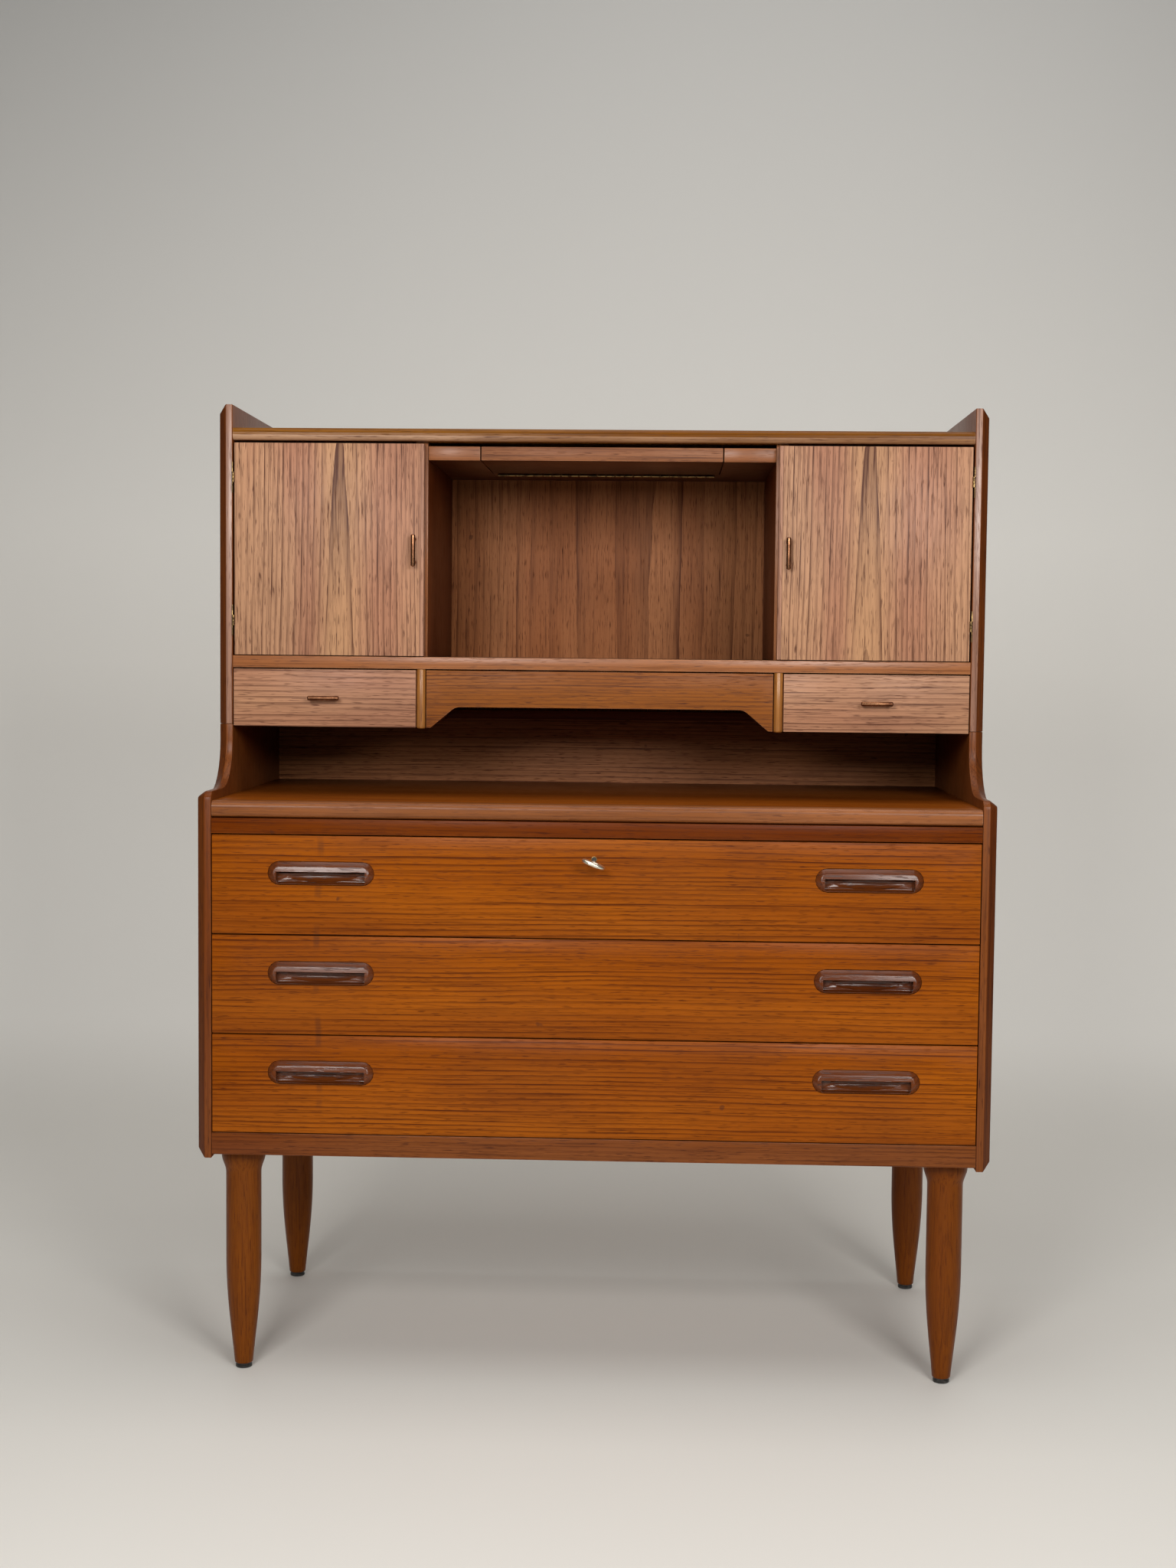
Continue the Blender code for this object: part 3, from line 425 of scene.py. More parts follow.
# Colours are linear. "pith" is where the ring centre lies from the origin, as (along, depth, across).
woodDefaults = {"slope": 0.0, "patches": 0.8, "heart": 0.0, "streak": 0.0, "streakPlace": 0.0}
woods = {
    "teakFront": {
        "light": (0.37, 0.093, 0.0030), "middle": (0.265, 0.058, 0.0018), "dark": (0.085, 0.015, 0.001),
        "rings": 150, "ringStrength": 1.25, "poreStrength": 0.55, "wander": 0.020,
        "gloss": 0.26, "worn": (0.42, 0.14, 0.03), "wear": 0.35, "bump": 0.10,
        "sheen": 0.08,
    },
    "teakPale": {
        "light": (0.56, 0.300, 0.168), "middle": (0.43, 0.190, 0.112), "dark": (0.09, 0.028, 0.014),
        "rings": 150, "ringStrength": 1.2, "poreStrength": 0.6, "wander": 0.016,
        "patches": 0.85, "gloss": 0.32, "worn": (0.6, 0.36, 0.25), "wear": 0.45, "bump": 0.16,
        "sheen": 0.2,
    },
    "teakSolid": {
        "light": (0.21, 0.060, 0.012), "middle": (0.155, 0.036, 0.006), "dark": (0.055, 0.011, 0.002),
        "rings": 200, "ringStrength": 0.8, "poreStrength": 0.6, "wander": 0.010,
        "gloss": 0.26, "worn": (0.42, 0.19, 0.10), "wear": 0.6, "bump": 0.12,
        "sheen": 0.15,
    },
    # painted shade: a darker copy of the front veneer for the apron, which lies recessed under the leaf
    "teakApron": {
        "light": (0.175, 0.036, 0.0014), "middle": (0.118, 0.019, 0.0009), "dark": (0.04, 0.006, 0.001),
        "rings": 190, "ringStrength": 0.6, "poreStrength": 0.4, "wander": 0.02,
        "patches": 1.0, "gloss": 0.26, "worn": (0.42, 0.14, 0.03), "wear": 0.35, "bump": 0.10,
        "sheen": 0.08,
    },
    # painted shade: a near-black wood for surfaces seen from below, the niche ceiling board and the flap's
    # downward faces
    "teakDark": {
        "light": (0.085, 0.018, 0.003), "middle": (0.060, 0.012, 0.002), "dark": (0.025, 0.005, 0.001),
        "rings": 160, "ringStrength": 0.5, "poreStrength": 0.5, "wander": 0.012,
        "gloss": 0.30, "worn": (0.24, 0.10, 0.04), "wear": 0.5, "bump": 0.12,
        "sheen": 0.3,
    },
    "teakGold": {
        "light": (0.42, 0.175, 0.040), "middle": (0.33, 0.115, 0.020), "dark": (0.12, 0.030, 0.005),
        "rings": 200, "ringStrength": 0.5, "poreStrength": 0.5, "wander": 0.006,
        "gloss": 0.22, "worn": (0.6, 0.34, 0.16), "wear": 0.4, "bump": 0.10,
        "sheen": 0.4,
    },
    "teakInner": {
        "light": (0.165, 0.034, 0.005), "middle": (0.120, 0.022, 0.003), "dark": (0.045, 0.008, 0.001),
        "rings": 110, "ringStrength": 0.6, "poreStrength": 0.5, "wander": 0.014,
        "gloss": 0.34, "worn": (0.30, 0.10, 0.04), "wear": 0.4, "bump": 0.12,
        "sheen": 0.12,
    },
    "teakBack": {
        "light": (0.43, 0.170, 0.066), "middle": (0.33, 0.110, 0.036), "dark": (0.08, 0.018, 0.005),
        "rings": 150, "ringStrength": 0.9, "poreStrength": 0.7, "wander": 0.016,
        "patches": 0.9, "gloss": 0.4, "worn": (0.45, 0.2, 0.1), "wear": 0.3, "bump": 0.12,
        "sheen": 0.12,
    },
    "teakEdge": {
        "light": (0.39, 0.145, 0.050), "middle": (0.30, 0.092, 0.022), "dark": (0.10, 0.026, 0.006),
        "rings": 160, "ringStrength": 0.5, "poreStrength": 0.5, "wander": 0.006,
        "gloss": 0.24, "worn": (0.62, 0.36, 0.22), "wear": 0.5, "bump": 0.10,
        "sheen": 0.35,
    },
    "teakLeg": {
        "light": (0.205, 0.054, 0.0020), "middle": (0.150, 0.032, 0.0012), "dark": (0.070, 0.013, 0.001),
        "rings": 260, "ringStrength": 0.5, "poreStrength": 0.45, "wander": 0.006,
        "patches": 0.6, "gloss": 0.26, "worn": (0.33, 0.13, 0.04), "wear": 0.4, "bump": 0.12,
        "sheen": 0.12,
    },
    "hardwood": {
        "light": (0.150, 0.036, 0.006), "middle": (0.098, 0.020, 0.003), "dark": (0.030, 0.006, 0.002),
        "rings": 190, "ringStrength": 0.5, "poreStrength": 0.7, "wander": 0.008,
        "patches": 0.9, "gloss": 0.16, "worn": (0.34, 0.15, 0.09), "wear": 0.4, "bump": 0.16,
        "sheen": 0.4,
    },
    "drawerWood": {
        "light": (0.55, 0.36, 0.19), "middle": (0.47, 0.29, 0.14), "dark": (0.27, 0.15, 0.07),
        "rings": 90, "ringStrength": 0.5, "poreStrength": 0.25, "wander": 0.02,
        "patches": 0.7, "gloss": 0.5, "worn": (0.66, 0.48, 0.3), "wear": 0.3, "bump": 0.1,
        "sheen": 0.3,
    },
}


def woodMaterial(name, wood, along="X", pith=(0, 0.35, 1.4), **changes):
    look = {**woodDefaults, **woods[wood], **changes}
    material, tree, shader, place = newMaterial(name)
    turned = addNode(tree, "Mapping", {"Vector": place, "Location": pith, "Rotation": grainTurn[along]})
    figure = addNode(tree, "Group", node_tree=shared["figure"])
    tree.links.new(turned.outputs[0], figure.inputs["Vector"])
    for socket, word in (("Light", "light"), ("Middle", "middle"), ("Dark", "dark")):
        figure.inputs[socket].default_value = (*look[word], 1)
    for socket, word in (
        ("Rings", "rings"), ("Ring Strength", "ringStrength"), ("Pore Strength", "poreStrength"),
        ("Slope", "slope"), ("Wander", "wander"), ("Patches", "patches"), ("Heart", "heart"),
    ):
        figure.inputs[socket].default_value = look[word]
    handled = addNode(tree, "Group", node_tree=shared["handling"])
    tree.links.new(figure.outputs["Color"], handled.inputs["Color"])
    handled.inputs["Streak"].default_value = look["streak"]
    handled.inputs["Streak Place"].default_value = look["streakPlace"]
    # paler arrises: rubbed wear and a painted highlight
    worn = addNode(tree, "Group", node_tree=shared["wear"])
    tree.links.new(handled.outputs["Color"], worn.inputs["Color"])
    worn.inputs["Worn"].default_value = (*look["worn"], 1)
    worn.inputs["Amount"].default_value = look["wear"]
    tree.links.new(worn.outputs["Color"], shader.inputs["Base Color"])
    rough = calc(tree, "ADD", figure.outputs["Gloss"], handled.outputs["Dulled"])
    rough = calc(tree, "ADD", rough, look["gloss"])
    tree.links.new(rough, shader.inputs["Roughness"])
    relief = {"Height": figure.outputs["Height"], "Strength": look["bump"], "Distance": 0.0006}
    bump = addNode(tree, "Bump", relief)
    tree.links.new(bump.outputs[0], shader.inputs["Normal"])
    shader.inputs["Specular IOR Level"].default_value = look["sheen"]
    return material


def metalMaterial(name, bright, tarnished, gloss, spots=60.0):
    material, tree, shader, place = newMaterial(name)
    tarnish = ramp(tree, noise(tree, place, 4.0, 0.6, spots), 0.38, 0.66)
    colour = blendColour(tree, tarnish, (*bright, 1), (*tarnished, 1))
    worn = addNode(tree, "Group", node_tree=shared["wear"])
    tree.links.new(colour, worn.inputs["Color"])
    worn.inputs["Worn"].default_value = (*bright, 1)
    worn.inputs["Amount"].default_value = 0.8
    worn.inputs["Radius"].default_value = 0.0006
    tree.links.new(worn.outputs["Color"], shader.inputs["Base Color"])
    tree.links.new(calc(tree, "MULTIPLY_ADD", tarnish, 0.16, gloss), shader.inputs["Roughness"])
    shader.inputs["Metallic"].default_value = 1.0
    scratches = noise(tree, place, 2.0, 0.5, 900.0)
    bump = addNode(tree, "Bump", {"Height": scratches, "Strength": 0.06, "Distance": 0.0002})
    tree.links.new(bump.outputs[0], shader.inputs["Normal"])
    return material


def plasticMaterial(name):
    material, tree, shader, place = newMaterial(name)
    scuffs = ramp(tree, noise(tree, place, 4.0, 0.6, 180.0), 0.45, 0.7)
    colour = blendColour(tree, scuffs, (0.012, 0.011, 0.010, 1), (0.05, 0.046, 0.042, 1))
    tree.links.new(colour, shader.inputs["Base Color"])
    tree.links.new(ramp(tree, scuffs, 0.0, 1.0, 0.42, 0.7), shader.inputs["Roughness"])
    bump = addNode(tree, "Bump", {"Height": scuffs, "Strength": 0.2, "Distance": 0.0003})
    tree.links.new(bump.outputs[0], shader.inputs["Normal"])
    return material


def mirrorMaterial(name):
    # Old silvering: a few dull specks and faint wiping marks.
    material, tree, shader, place = newMaterial(name)
    specks = ramp(tree, noise(tree, place, 5.0, 0.7, 90.0), 0.68, 0.76)
    colour = blendColour(tree, specks, (0.86, 0.88, 0.88, 1), (0.3, 0.28, 0.24, 1))
    tree.links.new(colour, shader.inputs["Base Color"])
    wiped = noise(tree, place, 3.0, 0.6, 12.0)
    tree.links.new(ramp(tree, wiped, 0.4, 0.7, 0.02, 0.09), shader.inputs["Roughness"])
    shader.inputs["Metallic"].default_value = 1.0
    return material


brass = metalMaterial("agedBrass", (0.27, 0.125, 0.062), (0.11, 0.042, 0.021), 0.26)
dullBrass = metalMaterial("dullBrass", (0.34, 0.22, 0.09), (0.10, 0.06, 0.03), 0.34, 140.0)
paleBrass = metalMaterial("keyBrass", (0.90, 0.87, 0.74), (0.66, 0.60, 0.45), 0.26, 300.0)
steel = metalMaterial("screwSteel", (0.62, 0.60, 0.56), (0.30, 0.27, 0.22), 0.32, 300.0)
blackPlastic = plasticMaterial("blackPlastic")
silvering = mirrorMaterial("silvering")
hardwood = woodMaterial("hardwoodGrip", "hardwood", "X", (0, 0.10, 0.30))
drawerAlongX = woodMaterial("drawerWoodAcross", "drawerWood", "X", (0, 0.3, 0.9))
drawerAlongY = woodMaterial("drawerWoodDeep", "drawerWood", "Y", (0, 0.4, 1.1))
print("shared materials made")


def boxOf(node):
    low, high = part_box(node)
    return Vector(low), Vector(high)


# Carcass boards that keep the frame's shape and get worked edges.
carcass = {
    "arris": 0.0007, "sideArris": 0.0010, "nose": 0.0078, "topNose": 0.0070,
    "backSpread": (1.0014, 1, 1.0012),
}


def buildSides():
    # The front edges are solid strips: a flat face and, outside it, a chamfer. The cabinet's paler, pinker
    # flat faces are a painted highlight, and the darker chamfers are painted shade, as they face away from
    # the lamps.
    edgeWoods = {
        # painted highlight: the paler, pinker wood of the cabinet's flat front faces
        "cabinet": woodMaterial(
            "cabinetEdge", "teakPale", "Z", (0.1, 0.4, 0.3),
            light=(0.40, 0.215, 0.145), middle=(0.26, 0.115, 0.07), gloss=0.22, sheen=0.4,
        ),
        "chest": woodMaterial("chestEdge", "teakSolid", "Z", (0.3, 0.4, 0.3)),
    }
    # painted shade: the chamfers, turned away from the lamps, get a darker wood
    chamferWood = woodMaterial(
        "chamferWood", "teakSolid", "Z", (0.2, 0.3, 0.5),
        light=(0.14, 0.034, 0.004), middle=(0.10, 0.020, 0.002), dark=(0.04, 0.008, 0.001), sheen=0.2,
    )
    for word, sign in sides:
        for part, pith in (("chest", (0, 1.1 * sign, 0.5)), ("cabinet", (0.3, 1.3 * sign, 0.35))):
            node = "%s_side_%s" % (part, word)
            name = part + "Side" + word.title()
            piece = bevelEdges(copyNode(node, name), carcass["sideArris"], 3, angle=22)
            look = woodMaterial(name, "teakSolid", "Z", pith)
            finish(piece, look, "case", node, angle=24)
            edgeWood = edgeWoods[part]
            assignFaces(piece, edgeWood, lambda _, normal: normal.y < -0.55 and abs(normal.x) < 0.2)
            assignFaces(piece, chamferWood, lambda _, normal: normal.y < -0.25 and sign * normal.x > 0.2)


def assignFaces(piece, material, test):
    # Gives the faces that pass the test a material of their own.
    piece.data.materials.append(material)
    selectFaces(piece, test)
    piece.active_material_index = len(piece.data.materials) - 1
    bpy.ops.object.material_slot_assign()
    bpy.ops.object.mode_set(mode="OBJECT")


def buildTop():
    low, high = boxOf("top_board")
    piece = addBlock("topBoard", low, high)
    roundFront(piece, lambda co: co.y < low.y + 0.00001, carcass["topNose"])
    veneer = woodMaterial(
        "topVeneer", "teakEdge", "X", (0, 1.1, 0.6), rings=220, gloss=0.16, sheen=0.12,
        light=(0.24, 0.085, 0.004), middle=(0.15, 0.044, 0.002), dark=(0.06, 0.016, 0.001),
    )
    finish(piece, veneer, "case", "top_board")
    # painted reflection: the lower half of the front nose gets a paler, pinker wood in large patches,
    # standing for the lamps' reflection on the rounded edge
    paintedReflectionWood = woodMaterial(
        "topUnderEdge", "teakEdge", "X", (0.2, 0.9, 0.5), patches=1.0,
        light=(0.62, 0.38, 0.24), middle=(0.25, 0.100, 0.022),
    )
    middleZ = (low.z + high.z) / 2 - 0.0005
    assignFaces(piece, paintedReflectionWood, lambda centre, normal: centre.z < middleZ and normal.y < -0.1)


def roundFront(piece, test, radius):
    # Only the edges that run along X are rounded, so that the ends stay square.
    shape = openEdit(piece, "EDGE")
    for edge in shape.edges:
        first, second = edge.verts[0].co, edge.verts[1].co
        runs = abs(first.x - second.x) > 0.05
        edge.select_set(bool(runs and test(first) and test(second)))
    bmesh.update_edit_mesh(piece.data)
    bpy.ops.mesh.bevel(offset=radius, segments=10, profile=0.5, affect="EDGES", clamp_overlap=True)
    bpy.ops.object.mode_set(mode="OBJECT")
    return piece


leafParts = {"lipping": 0.021, "seam": 0.00015, "arris": 0.0004}


def buildLeaf():
    # The leaf is a veneered panel with a solid lipping along its front edge.
    low, high = boxOf("writing_leaf")
    seamY = low.y + leafParts["lipping"]
    nose = addBlock("leafLipping", low, (high.x, seamY - leafParts["seam"], high.z))
    roundFront(nose, lambda co: co.y < low.y + 1e-5, carcass["nose"])
    panel = addBoard("writingLeaf", (low.x, seamY, low.z), high, leafParts["arris"], 2)
    veneer = woodMaterial(
        "writingLeaf", "teakFront", "X", (0, 0.9, 0.5),
        light=(0.28, 0.072, 0.006), middle=(0.20, 0.045, 0.003), dark=(0.06, 0.010, 0.001),
    )
    finish(panel, veneer, "leaf", "writing_leaf")
    look = woodMaterial(
        "leafLipping", "teakEdge", "X", (0.4, 0.3, 0.55),
        light=(0.35, 0.125, 0.042), middle=(0.23, 0.072, 0.017), ringStrength=0.9, sheen=0.22,
    )
    finish(nose, look, "leaf")


def addLipping(piece, material, depth=0.005):
    # The front few millimetres are a solid strip of its own wood, glued on behind a fine seam.
    frontY = min(vert.co.y for vert in piece.data.vertices)
    openEdit(piece, "FACE")
    bpy.ops.mesh.select_all(action="SELECT")
    bpy.ops.mesh.bisect(plane_co=(0, frontY + depth, 0), plane_no=(0, 1, 0))
    bpy.ops.object.mode_set(mode="OBJECT")
    assignFaces(piece, material, lambda centre, normal: centre.y < frontY + depth)


def buildCarcass():
    lippings = {
        "X": woodMaterial("lippingAcross", "teakEdge", "X", (0.3, 0.2, 0.3)),
        "Z": woodMaterial("lippingUpright", "teakEdge", "Z", (0.1, 0.2, 0.6)),
    }
    boards = (
        ("leaf_bed", "leafBed", "teakApron", "X", (0.2, 0.8, 0.7), False),
        ("bottom_board", "bottomBoard", "teakSolid", "X", (0.1, 0.5, 0.9), False),
        ("middle_shelf", "middleShelf", "teakPale", "X", (0.1, 0.9, 0.6), True),
        ("cabinet_floor", "cabinetFloor", "teakInner", "X", (0.5, 0.9, 0.4), True),
        ("niche_ceiling", "nicheCeiling", "teakDark", "X", (0.2, 0.3, 0.9), True),
        ("runner_frame_1", "runnerFrameUpper", "drawerWood", "Y", (0, 0.3, 0.8), False),
        ("runner_frame_2", "runnerFrameLower", "drawerWood", "Y", (0.2, 0.4, 0.7), False),
        ("divider_left", "dividerLeft", "teakInner", "Z", (0, 0.3, 0.4), True),
        ("divider_right", "dividerRight", "teakInner", "Z", (0.2, 0.4, -0.5), True),
        ("batten_divider_left", "battenLeft", "teakGold", "Z", (0, 0.3, 0.4), False),
        ("batten_divider_right", "battenRight", "teakGold", "Z", (0.1, 0.3, -0.4), False),
        ("cabinet_back", "cabinetBack", "teakBack", "Z", (0, 0.16, 0.03), False),
        ("chest_back", "chestBack", "teakBack", "X", (0, 0.5, 0.9), False),
    )
    for node, name, wood, along, pith, lipped in boards:
        piece = bevelEdges(copyNode(node, name), carcass["arris"], 2)
        if wood == "teakBack":
            # let into the sides, so that no light passes round the panel
            selectVerts(piece, lambda co: True)
            centre = sum(boxOf(node), Vector()) / 2
            bpy.ops.transform.resize(value=carcass["backSpread"], center_override=centre)
            bpy.ops.object.mode_set(mode="OBJECT")
        finish(piece, woodMaterial(name, wood, along, pith), "case", node)
        if lipped:
            addLipping(piece, lippings[along])


# How deep the ring centre lies behind each door's face, and where across the door.
doorFigure = {"left": (0.0863, -0.342), "right": (0.0858, 0.347)}


door = {"lipping": 0.0048, "seam": 0.0001}


def buildDoors():
    # Veneered panels with a solid lipping down the closing edge.
    for word, sign in sides:
        low, high = boxOf("door_" + word)
        body = "door_%s_body" % word
        if sign < 0:
            seamX = high.x - door["lipping"]
            panelX, stripX = (low.x, seamX - door["seam"]), (seamX, high.x)
        else:
            seamX = low.x + door["lipping"]
            panelX, stripX = (seamX + door["seam"], high.x), (low.x, seamX)
        made = []
        for name, (x0, x1) in (("doorPanel", panelX), ("doorLipping", stripX)):
            made.append(addBoard(name + word.title(), (x0, low.y, low.z), (x1, high.y, high.z)))
        look = woodMaterial(
            "doorVeneer" + word.title(), "teakPale", "Z", (0, *doorFigure[word]),
            slope=0.028, wander=0.010, heart=0.75,
        )
        finish(made[0], look, body, "door_" + word)
        light = woodMaterial(
            "doorLipping" + word.title(), "teakPale", "Z", (0, 0.4, 0.9),
            light=(0.56, 0.31, 0.21), middle=(0.47, 0.23, 0.14),
        )
        finish(made[1], light, body)


def fromOutline(co, low, high):
    return min(abs(co.x - low.x), abs(co.x - high.x), abs(co.z - low.z), abs(co.z - high.z))


def buildFronts():
    for number in (1, 2, 3):
        node = "drawer_%d_front" % number
        low, high = boxOf(node)
        piece = copyNode(node, "drawerFront%d" % number)
        bevelEdges(piece, 0.0006, 2, lambda co: fromOutline(co, low, high) < 1e-4)
        look = woodMaterial(
            "frontVeneer%d" % number, "teakFront", "X", (0.13 * number, 0.55, 1.2),
            streak=0.35, streakPlace=-0.338,
        )
        finish(piece, look, "drawer_%d" % number, node)
    for word, sign in sides:
        node = "small_drawer_%s_front" % word
        low, high = boxOf(node)
        piece = addBoard("smallFront" + word.title(), low, high, 0.0008, 2)
        look = woodMaterial(
            "smallVeneer" + word.title(), "teakPale", "X", (0.2 * sign, 0.25, -0.6),
            light=(0.51, 0.262, 0.143), middle=(0.39, 0.163, 0.093),
        )
        finish(piece, look, "small_drawer_" + word, node)
    piece = bevelEdges(copyNode("centre_drawer_front", "centreFront"), 0.0008, 2, angle=20)
    look = woodMaterial(
        "centreVeneer", "teakPale", "X", (0.3, 0.3, -0.5), rings=230, sheen=0.1,
        light=(0.31, 0.102, 0.020), middle=(0.24, 0.068, 0.010),
    )
    finish(piece, look, "centre_drawer", "centre_drawer_front")


# Thickness of the walls and of the floor.
drawerBox = {"large": (0.012, 0.008), "small": (0.008, 0.005), "groove": 0.0012, "backDrop": 0.003}


def buildDrawerBoxes():
    # Sides, back and bottom as separate boards, as the joiner made them.
    boxes = [("drawer_%d_box" % number, "drawer_%d" % number, "large") for number in (1, 2, 3)]
    boxes += [("small_drawer_%s_box" % word, "small_drawer_" + word, "small") for word, _ in sides]
    boxes += [("centre_drawer_box", "centre_drawer", "small")]
    for node, body, kind in boxes:
        wall, floor = drawerBox[kind]
        low, high = boxOf(node)
        name = "".join(part.title() for part in node.split("_"))
        name = name[0].lower() + name[1:]
        left, right, rear = low.x + wall, high.x - wall, high.y - wall
        under = low.z + drawerBox["groove"]
        panel = addBoard(name + "Bottom", (left, low.y, under), (right, rear, low.z + floor), 0.0003)
        finish(panel, drawerAlongX, body, node)
        backTop = high.z - drawerBox["backDrop"]
        back = addBoard(name + "Back", (left, rear, low.z), (right, high.y, backTop), 0.0012)
        finish(back, drawerAlongX, body)
        for word, x0, x1 in (("Left", low.x, left), ("Right", right, high.x)):
            side = addBoard(name + word, (x0, low.y, low.z), (x1, high.y, high.z), 0.0015, 3)
            finish(side, drawerAlongY, body)


grip = {
    "proud": 0.0042, "slope": 0.0064, "lean": 10, "bar": 0.0128, "rim": 0.0018, "endRim": 0.0110,
    "wall": 0.0075, "floor": 0.0022, "undercut": 0.0060,
}


def buildGrips():
    # One carved grip, then a copy for each place. The ring slopes out from the drawer's face all round.
    low, high = boxOf("drawer_1_grip_left")
    middle = ((low.x + high.x) / 2, (low.z + high.z) / 2)
    width, height = high.x - low.x, high.z - low.z
    model = addStadium("gripModel", middle, width, height, low.y, high.y)
    selectFaces(model, lambda centre, normal: normal.y < -0.9)
    bpy.ops.mesh.inset(thickness=grip["slope"])
    bpy.ops.transform.translate(value=(0, -grip["proud"], 0))
    innerTop = (middle[0], low.y - grip["proud"], high.z - grip["slope"])
    bpy.ops.transform.rotate(
        value=math.radians(grip["lean"]), orient_axis="X", orient_type="GLOBAL", center_override=innerTop
    )
    bpy.ops.object.mode_set(mode="OBJECT")
    bevelEdges(model, 0.0011, 3, lambda co: co.y < low.y + 1e-5, angle=9)
    top = high.z - grip["bar"]
    bottom = low.z + grip["rim"]
    left, right = low.x + grip["endRim"], high.x - grip["endRim"]
    recess = addBlock("recess", (left, low.y - 0.02, bottom), (right, low.y + grip["wall"], top))
    bevelEdges(recess, 0.0028, 5, lambda co: co.z < bottom + 1e-5)
    cutAway(model, recess)
    # the finger hollow: a dish behind the opening, running up behind the bar
    clearSelection()
    bpy.ops.mesh.primitive_uv_sphere_add(segments=48, ring_count=24, radius=1)
    dish = bpy.context.active_object
    dish.scale = ((right - left) / 2 - 0.0004, high.y - low.y - grip["floor"], (top - bottom) / 2 + 0.0022)
    dish.location = (middle[0], low.y, (top + bottom) / 2 + 0.0018)
    applyPlace(dish)
    openEdit(dish, "FACE")
    bpy.ops.mesh.select_all(action="SELECT")
    bpy.ops.mesh.bisect(
        plane_co=(0, low.y + 0.0045, 0), plane_no=(0, -1, 0), clear_outer=True, use_fill=True
    )
    bpy.ops.object.mode_set(mode="OBJECT")
    faceOut(dish)
    cutAway(model, dish)
    under = addBlock(
        "undercut", (left + 0.0006, low.y + 0.0042, top - 0.003),
        (right - 0.0006, high.y - grip["floor"], top + grip["undercut"]),
    )
    bevelEdges(under, 0.0028, 4)
    cutAway(model, under)
    faceOut(model)
    bevelEdges(model, 0.0005, 2, lambda co: co.y < low.y + 0.0002, angle=55)
    for number in (1, 2, 3):
        for word, _ in sides:
            node = "drawer_%d_grip_%s" % (number, word)
            here = boxOf(node)[0]
            piece = copyPiece(model, "grip%s%d" % (word.title(), number), here - low)
            finish(piece, hardwood, "drawer_%d" % number, node, angle=36)
    bpy.data.objects.remove(model, do_unlink=True)


leg = {"tipRadius": 0.0118, "swell": 0.0226, "shoulder": 0.0282, "steps": 64}


def buildLegs():
    # Turned legs: a tapering foot, a long barrel and a short flared shoulder.
    for depthWord in ("front", "rear"):
        for word, sign in sides:
            node = "leg_%s_%s" % (depthWord, word)
            low, high = boxOf(node)
            centre = ((low.x + high.x) / 2, (low.y + high.y) / 2)
            length = high.z - low.z
            tip, swell, shoulder = leg["tipRadius"], leg["swell"], leg["shoulder"]
            profile = [(tip - 0.0014, 0.0), (tip - 0.0004, 0.0004), (tip, 0.0014)]
            for step in range(1, 15):
                share = step / 14
                rise = math.sin(share * math.pi / 2) ** 1.12
                profile.append((tip + (swell - tip) * rise, 0.0014 + share * 0.49 * length))
            for step in range(1, 5):
                profile.append((swell, length * 0.49 + step / 4 * (length * 0.51 - 0.0340)))
            flareStart = length - 0.0340
            for step in range(1, 11):
                share = step / 10
                rise = 0.5 - 0.5 * math.cos(share * math.pi)
                profile.append((swell + (shoulder - swell) * rise, flareStart + share * 0.0236))
            profile += [(shoulder, length - 0.0010), (shoulder - 0.0007, length)]
            points = [(radius, low.z + height) for radius, height in profile]
            suffix = depthWord.title() + word.title()
            piece = addTurned("leg" + suffix, points, (*centre, 0), "Z", leg["steps"])
            # the pith lies just outside the blank, so the figure closes on the front
            look = woodMaterial(
                "legWood" + suffix, "teakLeg", "Z",
                (0.1, 0.09 - centre[1], centre[0] + 0.012 * sign), slope=0.05,
            )
            finish(piece, look, "case", node, angle=50)
            buildGlide("glide_%s_%s" % (depthWord, word), centre)


def buildGlide(node, centre):
    low, high = boxOf(node)
    radius, tall = (high.x - low.x) / 2, high.z - low.z
    profile = [
        (radius * 0.30, 0.0003), (radius * 0.34, 0.0), (radius * 0.86, 0.0), (radius * 0.95, 0.0003),
        (radius, 0.0010), (radius, tall * 0.62), (radius * 0.93, tall * 0.70), (radius * 0.93, tall),
    ]
    name = "glide" + "".join(part.title() for part in node.split("_")[1:])
    piece = addTurned(name, profile, (*centre, 0), "Z", 40)
    finish(piece, blackPlastic, "case", node, angle=30)


pull = {"bar": 0.0030, "postFoot": 0.0030, "post": 0.0021, "dome": 6}


def buildPull(node, name, body, along):
    # A slim bar with domed ends on two waisted posts.
    low, high = boxOf(node)
    middle = (low + high) / 2
    index = "XYZ".index(along)
    half = (high[index] - low[index]) / 2
    profile = []
    for step in range(pull["dome"]):
        angle = math.pi / 2 * (step + 0.35) / pull["dome"]
        profile.append((pull["bar"] * math.sin(angle), -half + 0.0018 * (1 - math.cos(angle))))
    profile.append((pull["bar"], -half + 0.0018))
    profile += [(radius, -height) for radius, height in reversed(profile)]
    barY = low.y + pull["bar"]
    bar = addTurned(name, profile, (middle.x, barY, middle.z), along, 32)
    parts = [bar]
    for sign in (-1, 1):
        foot = Vector((middle.x, barY, middle.z))
        foot[index] += sign * half * 0.714
        reach = high.y - barY
        posts = [
            (pull["post"] * 1.1, 0.0008), (pull["post"] * 0.92, reach * 0.35),
            (pull["post"], reach * 0.62), (pull["postFoot"] * 0.95, reach * 0.80),
            (pull["postFoot"], reach * 0.86), (pull["postFoot"], reach),
        ]
        parts.append(addTurned(name + "Post", posts, foot, "Y", 24))
    piece = joinPieces(name, parts)
    finish(piece, brass, body, node, angle=40)


def buildPulls():
    for word, _ in sides:
        buildPull("door_pull_" + word, "doorPull" + word.title(), "door_%s_body" % word, "Z")
        buildPull("small_pull_" + word, "smallPull" + word.title(), "small_drawer_" + word, "X")


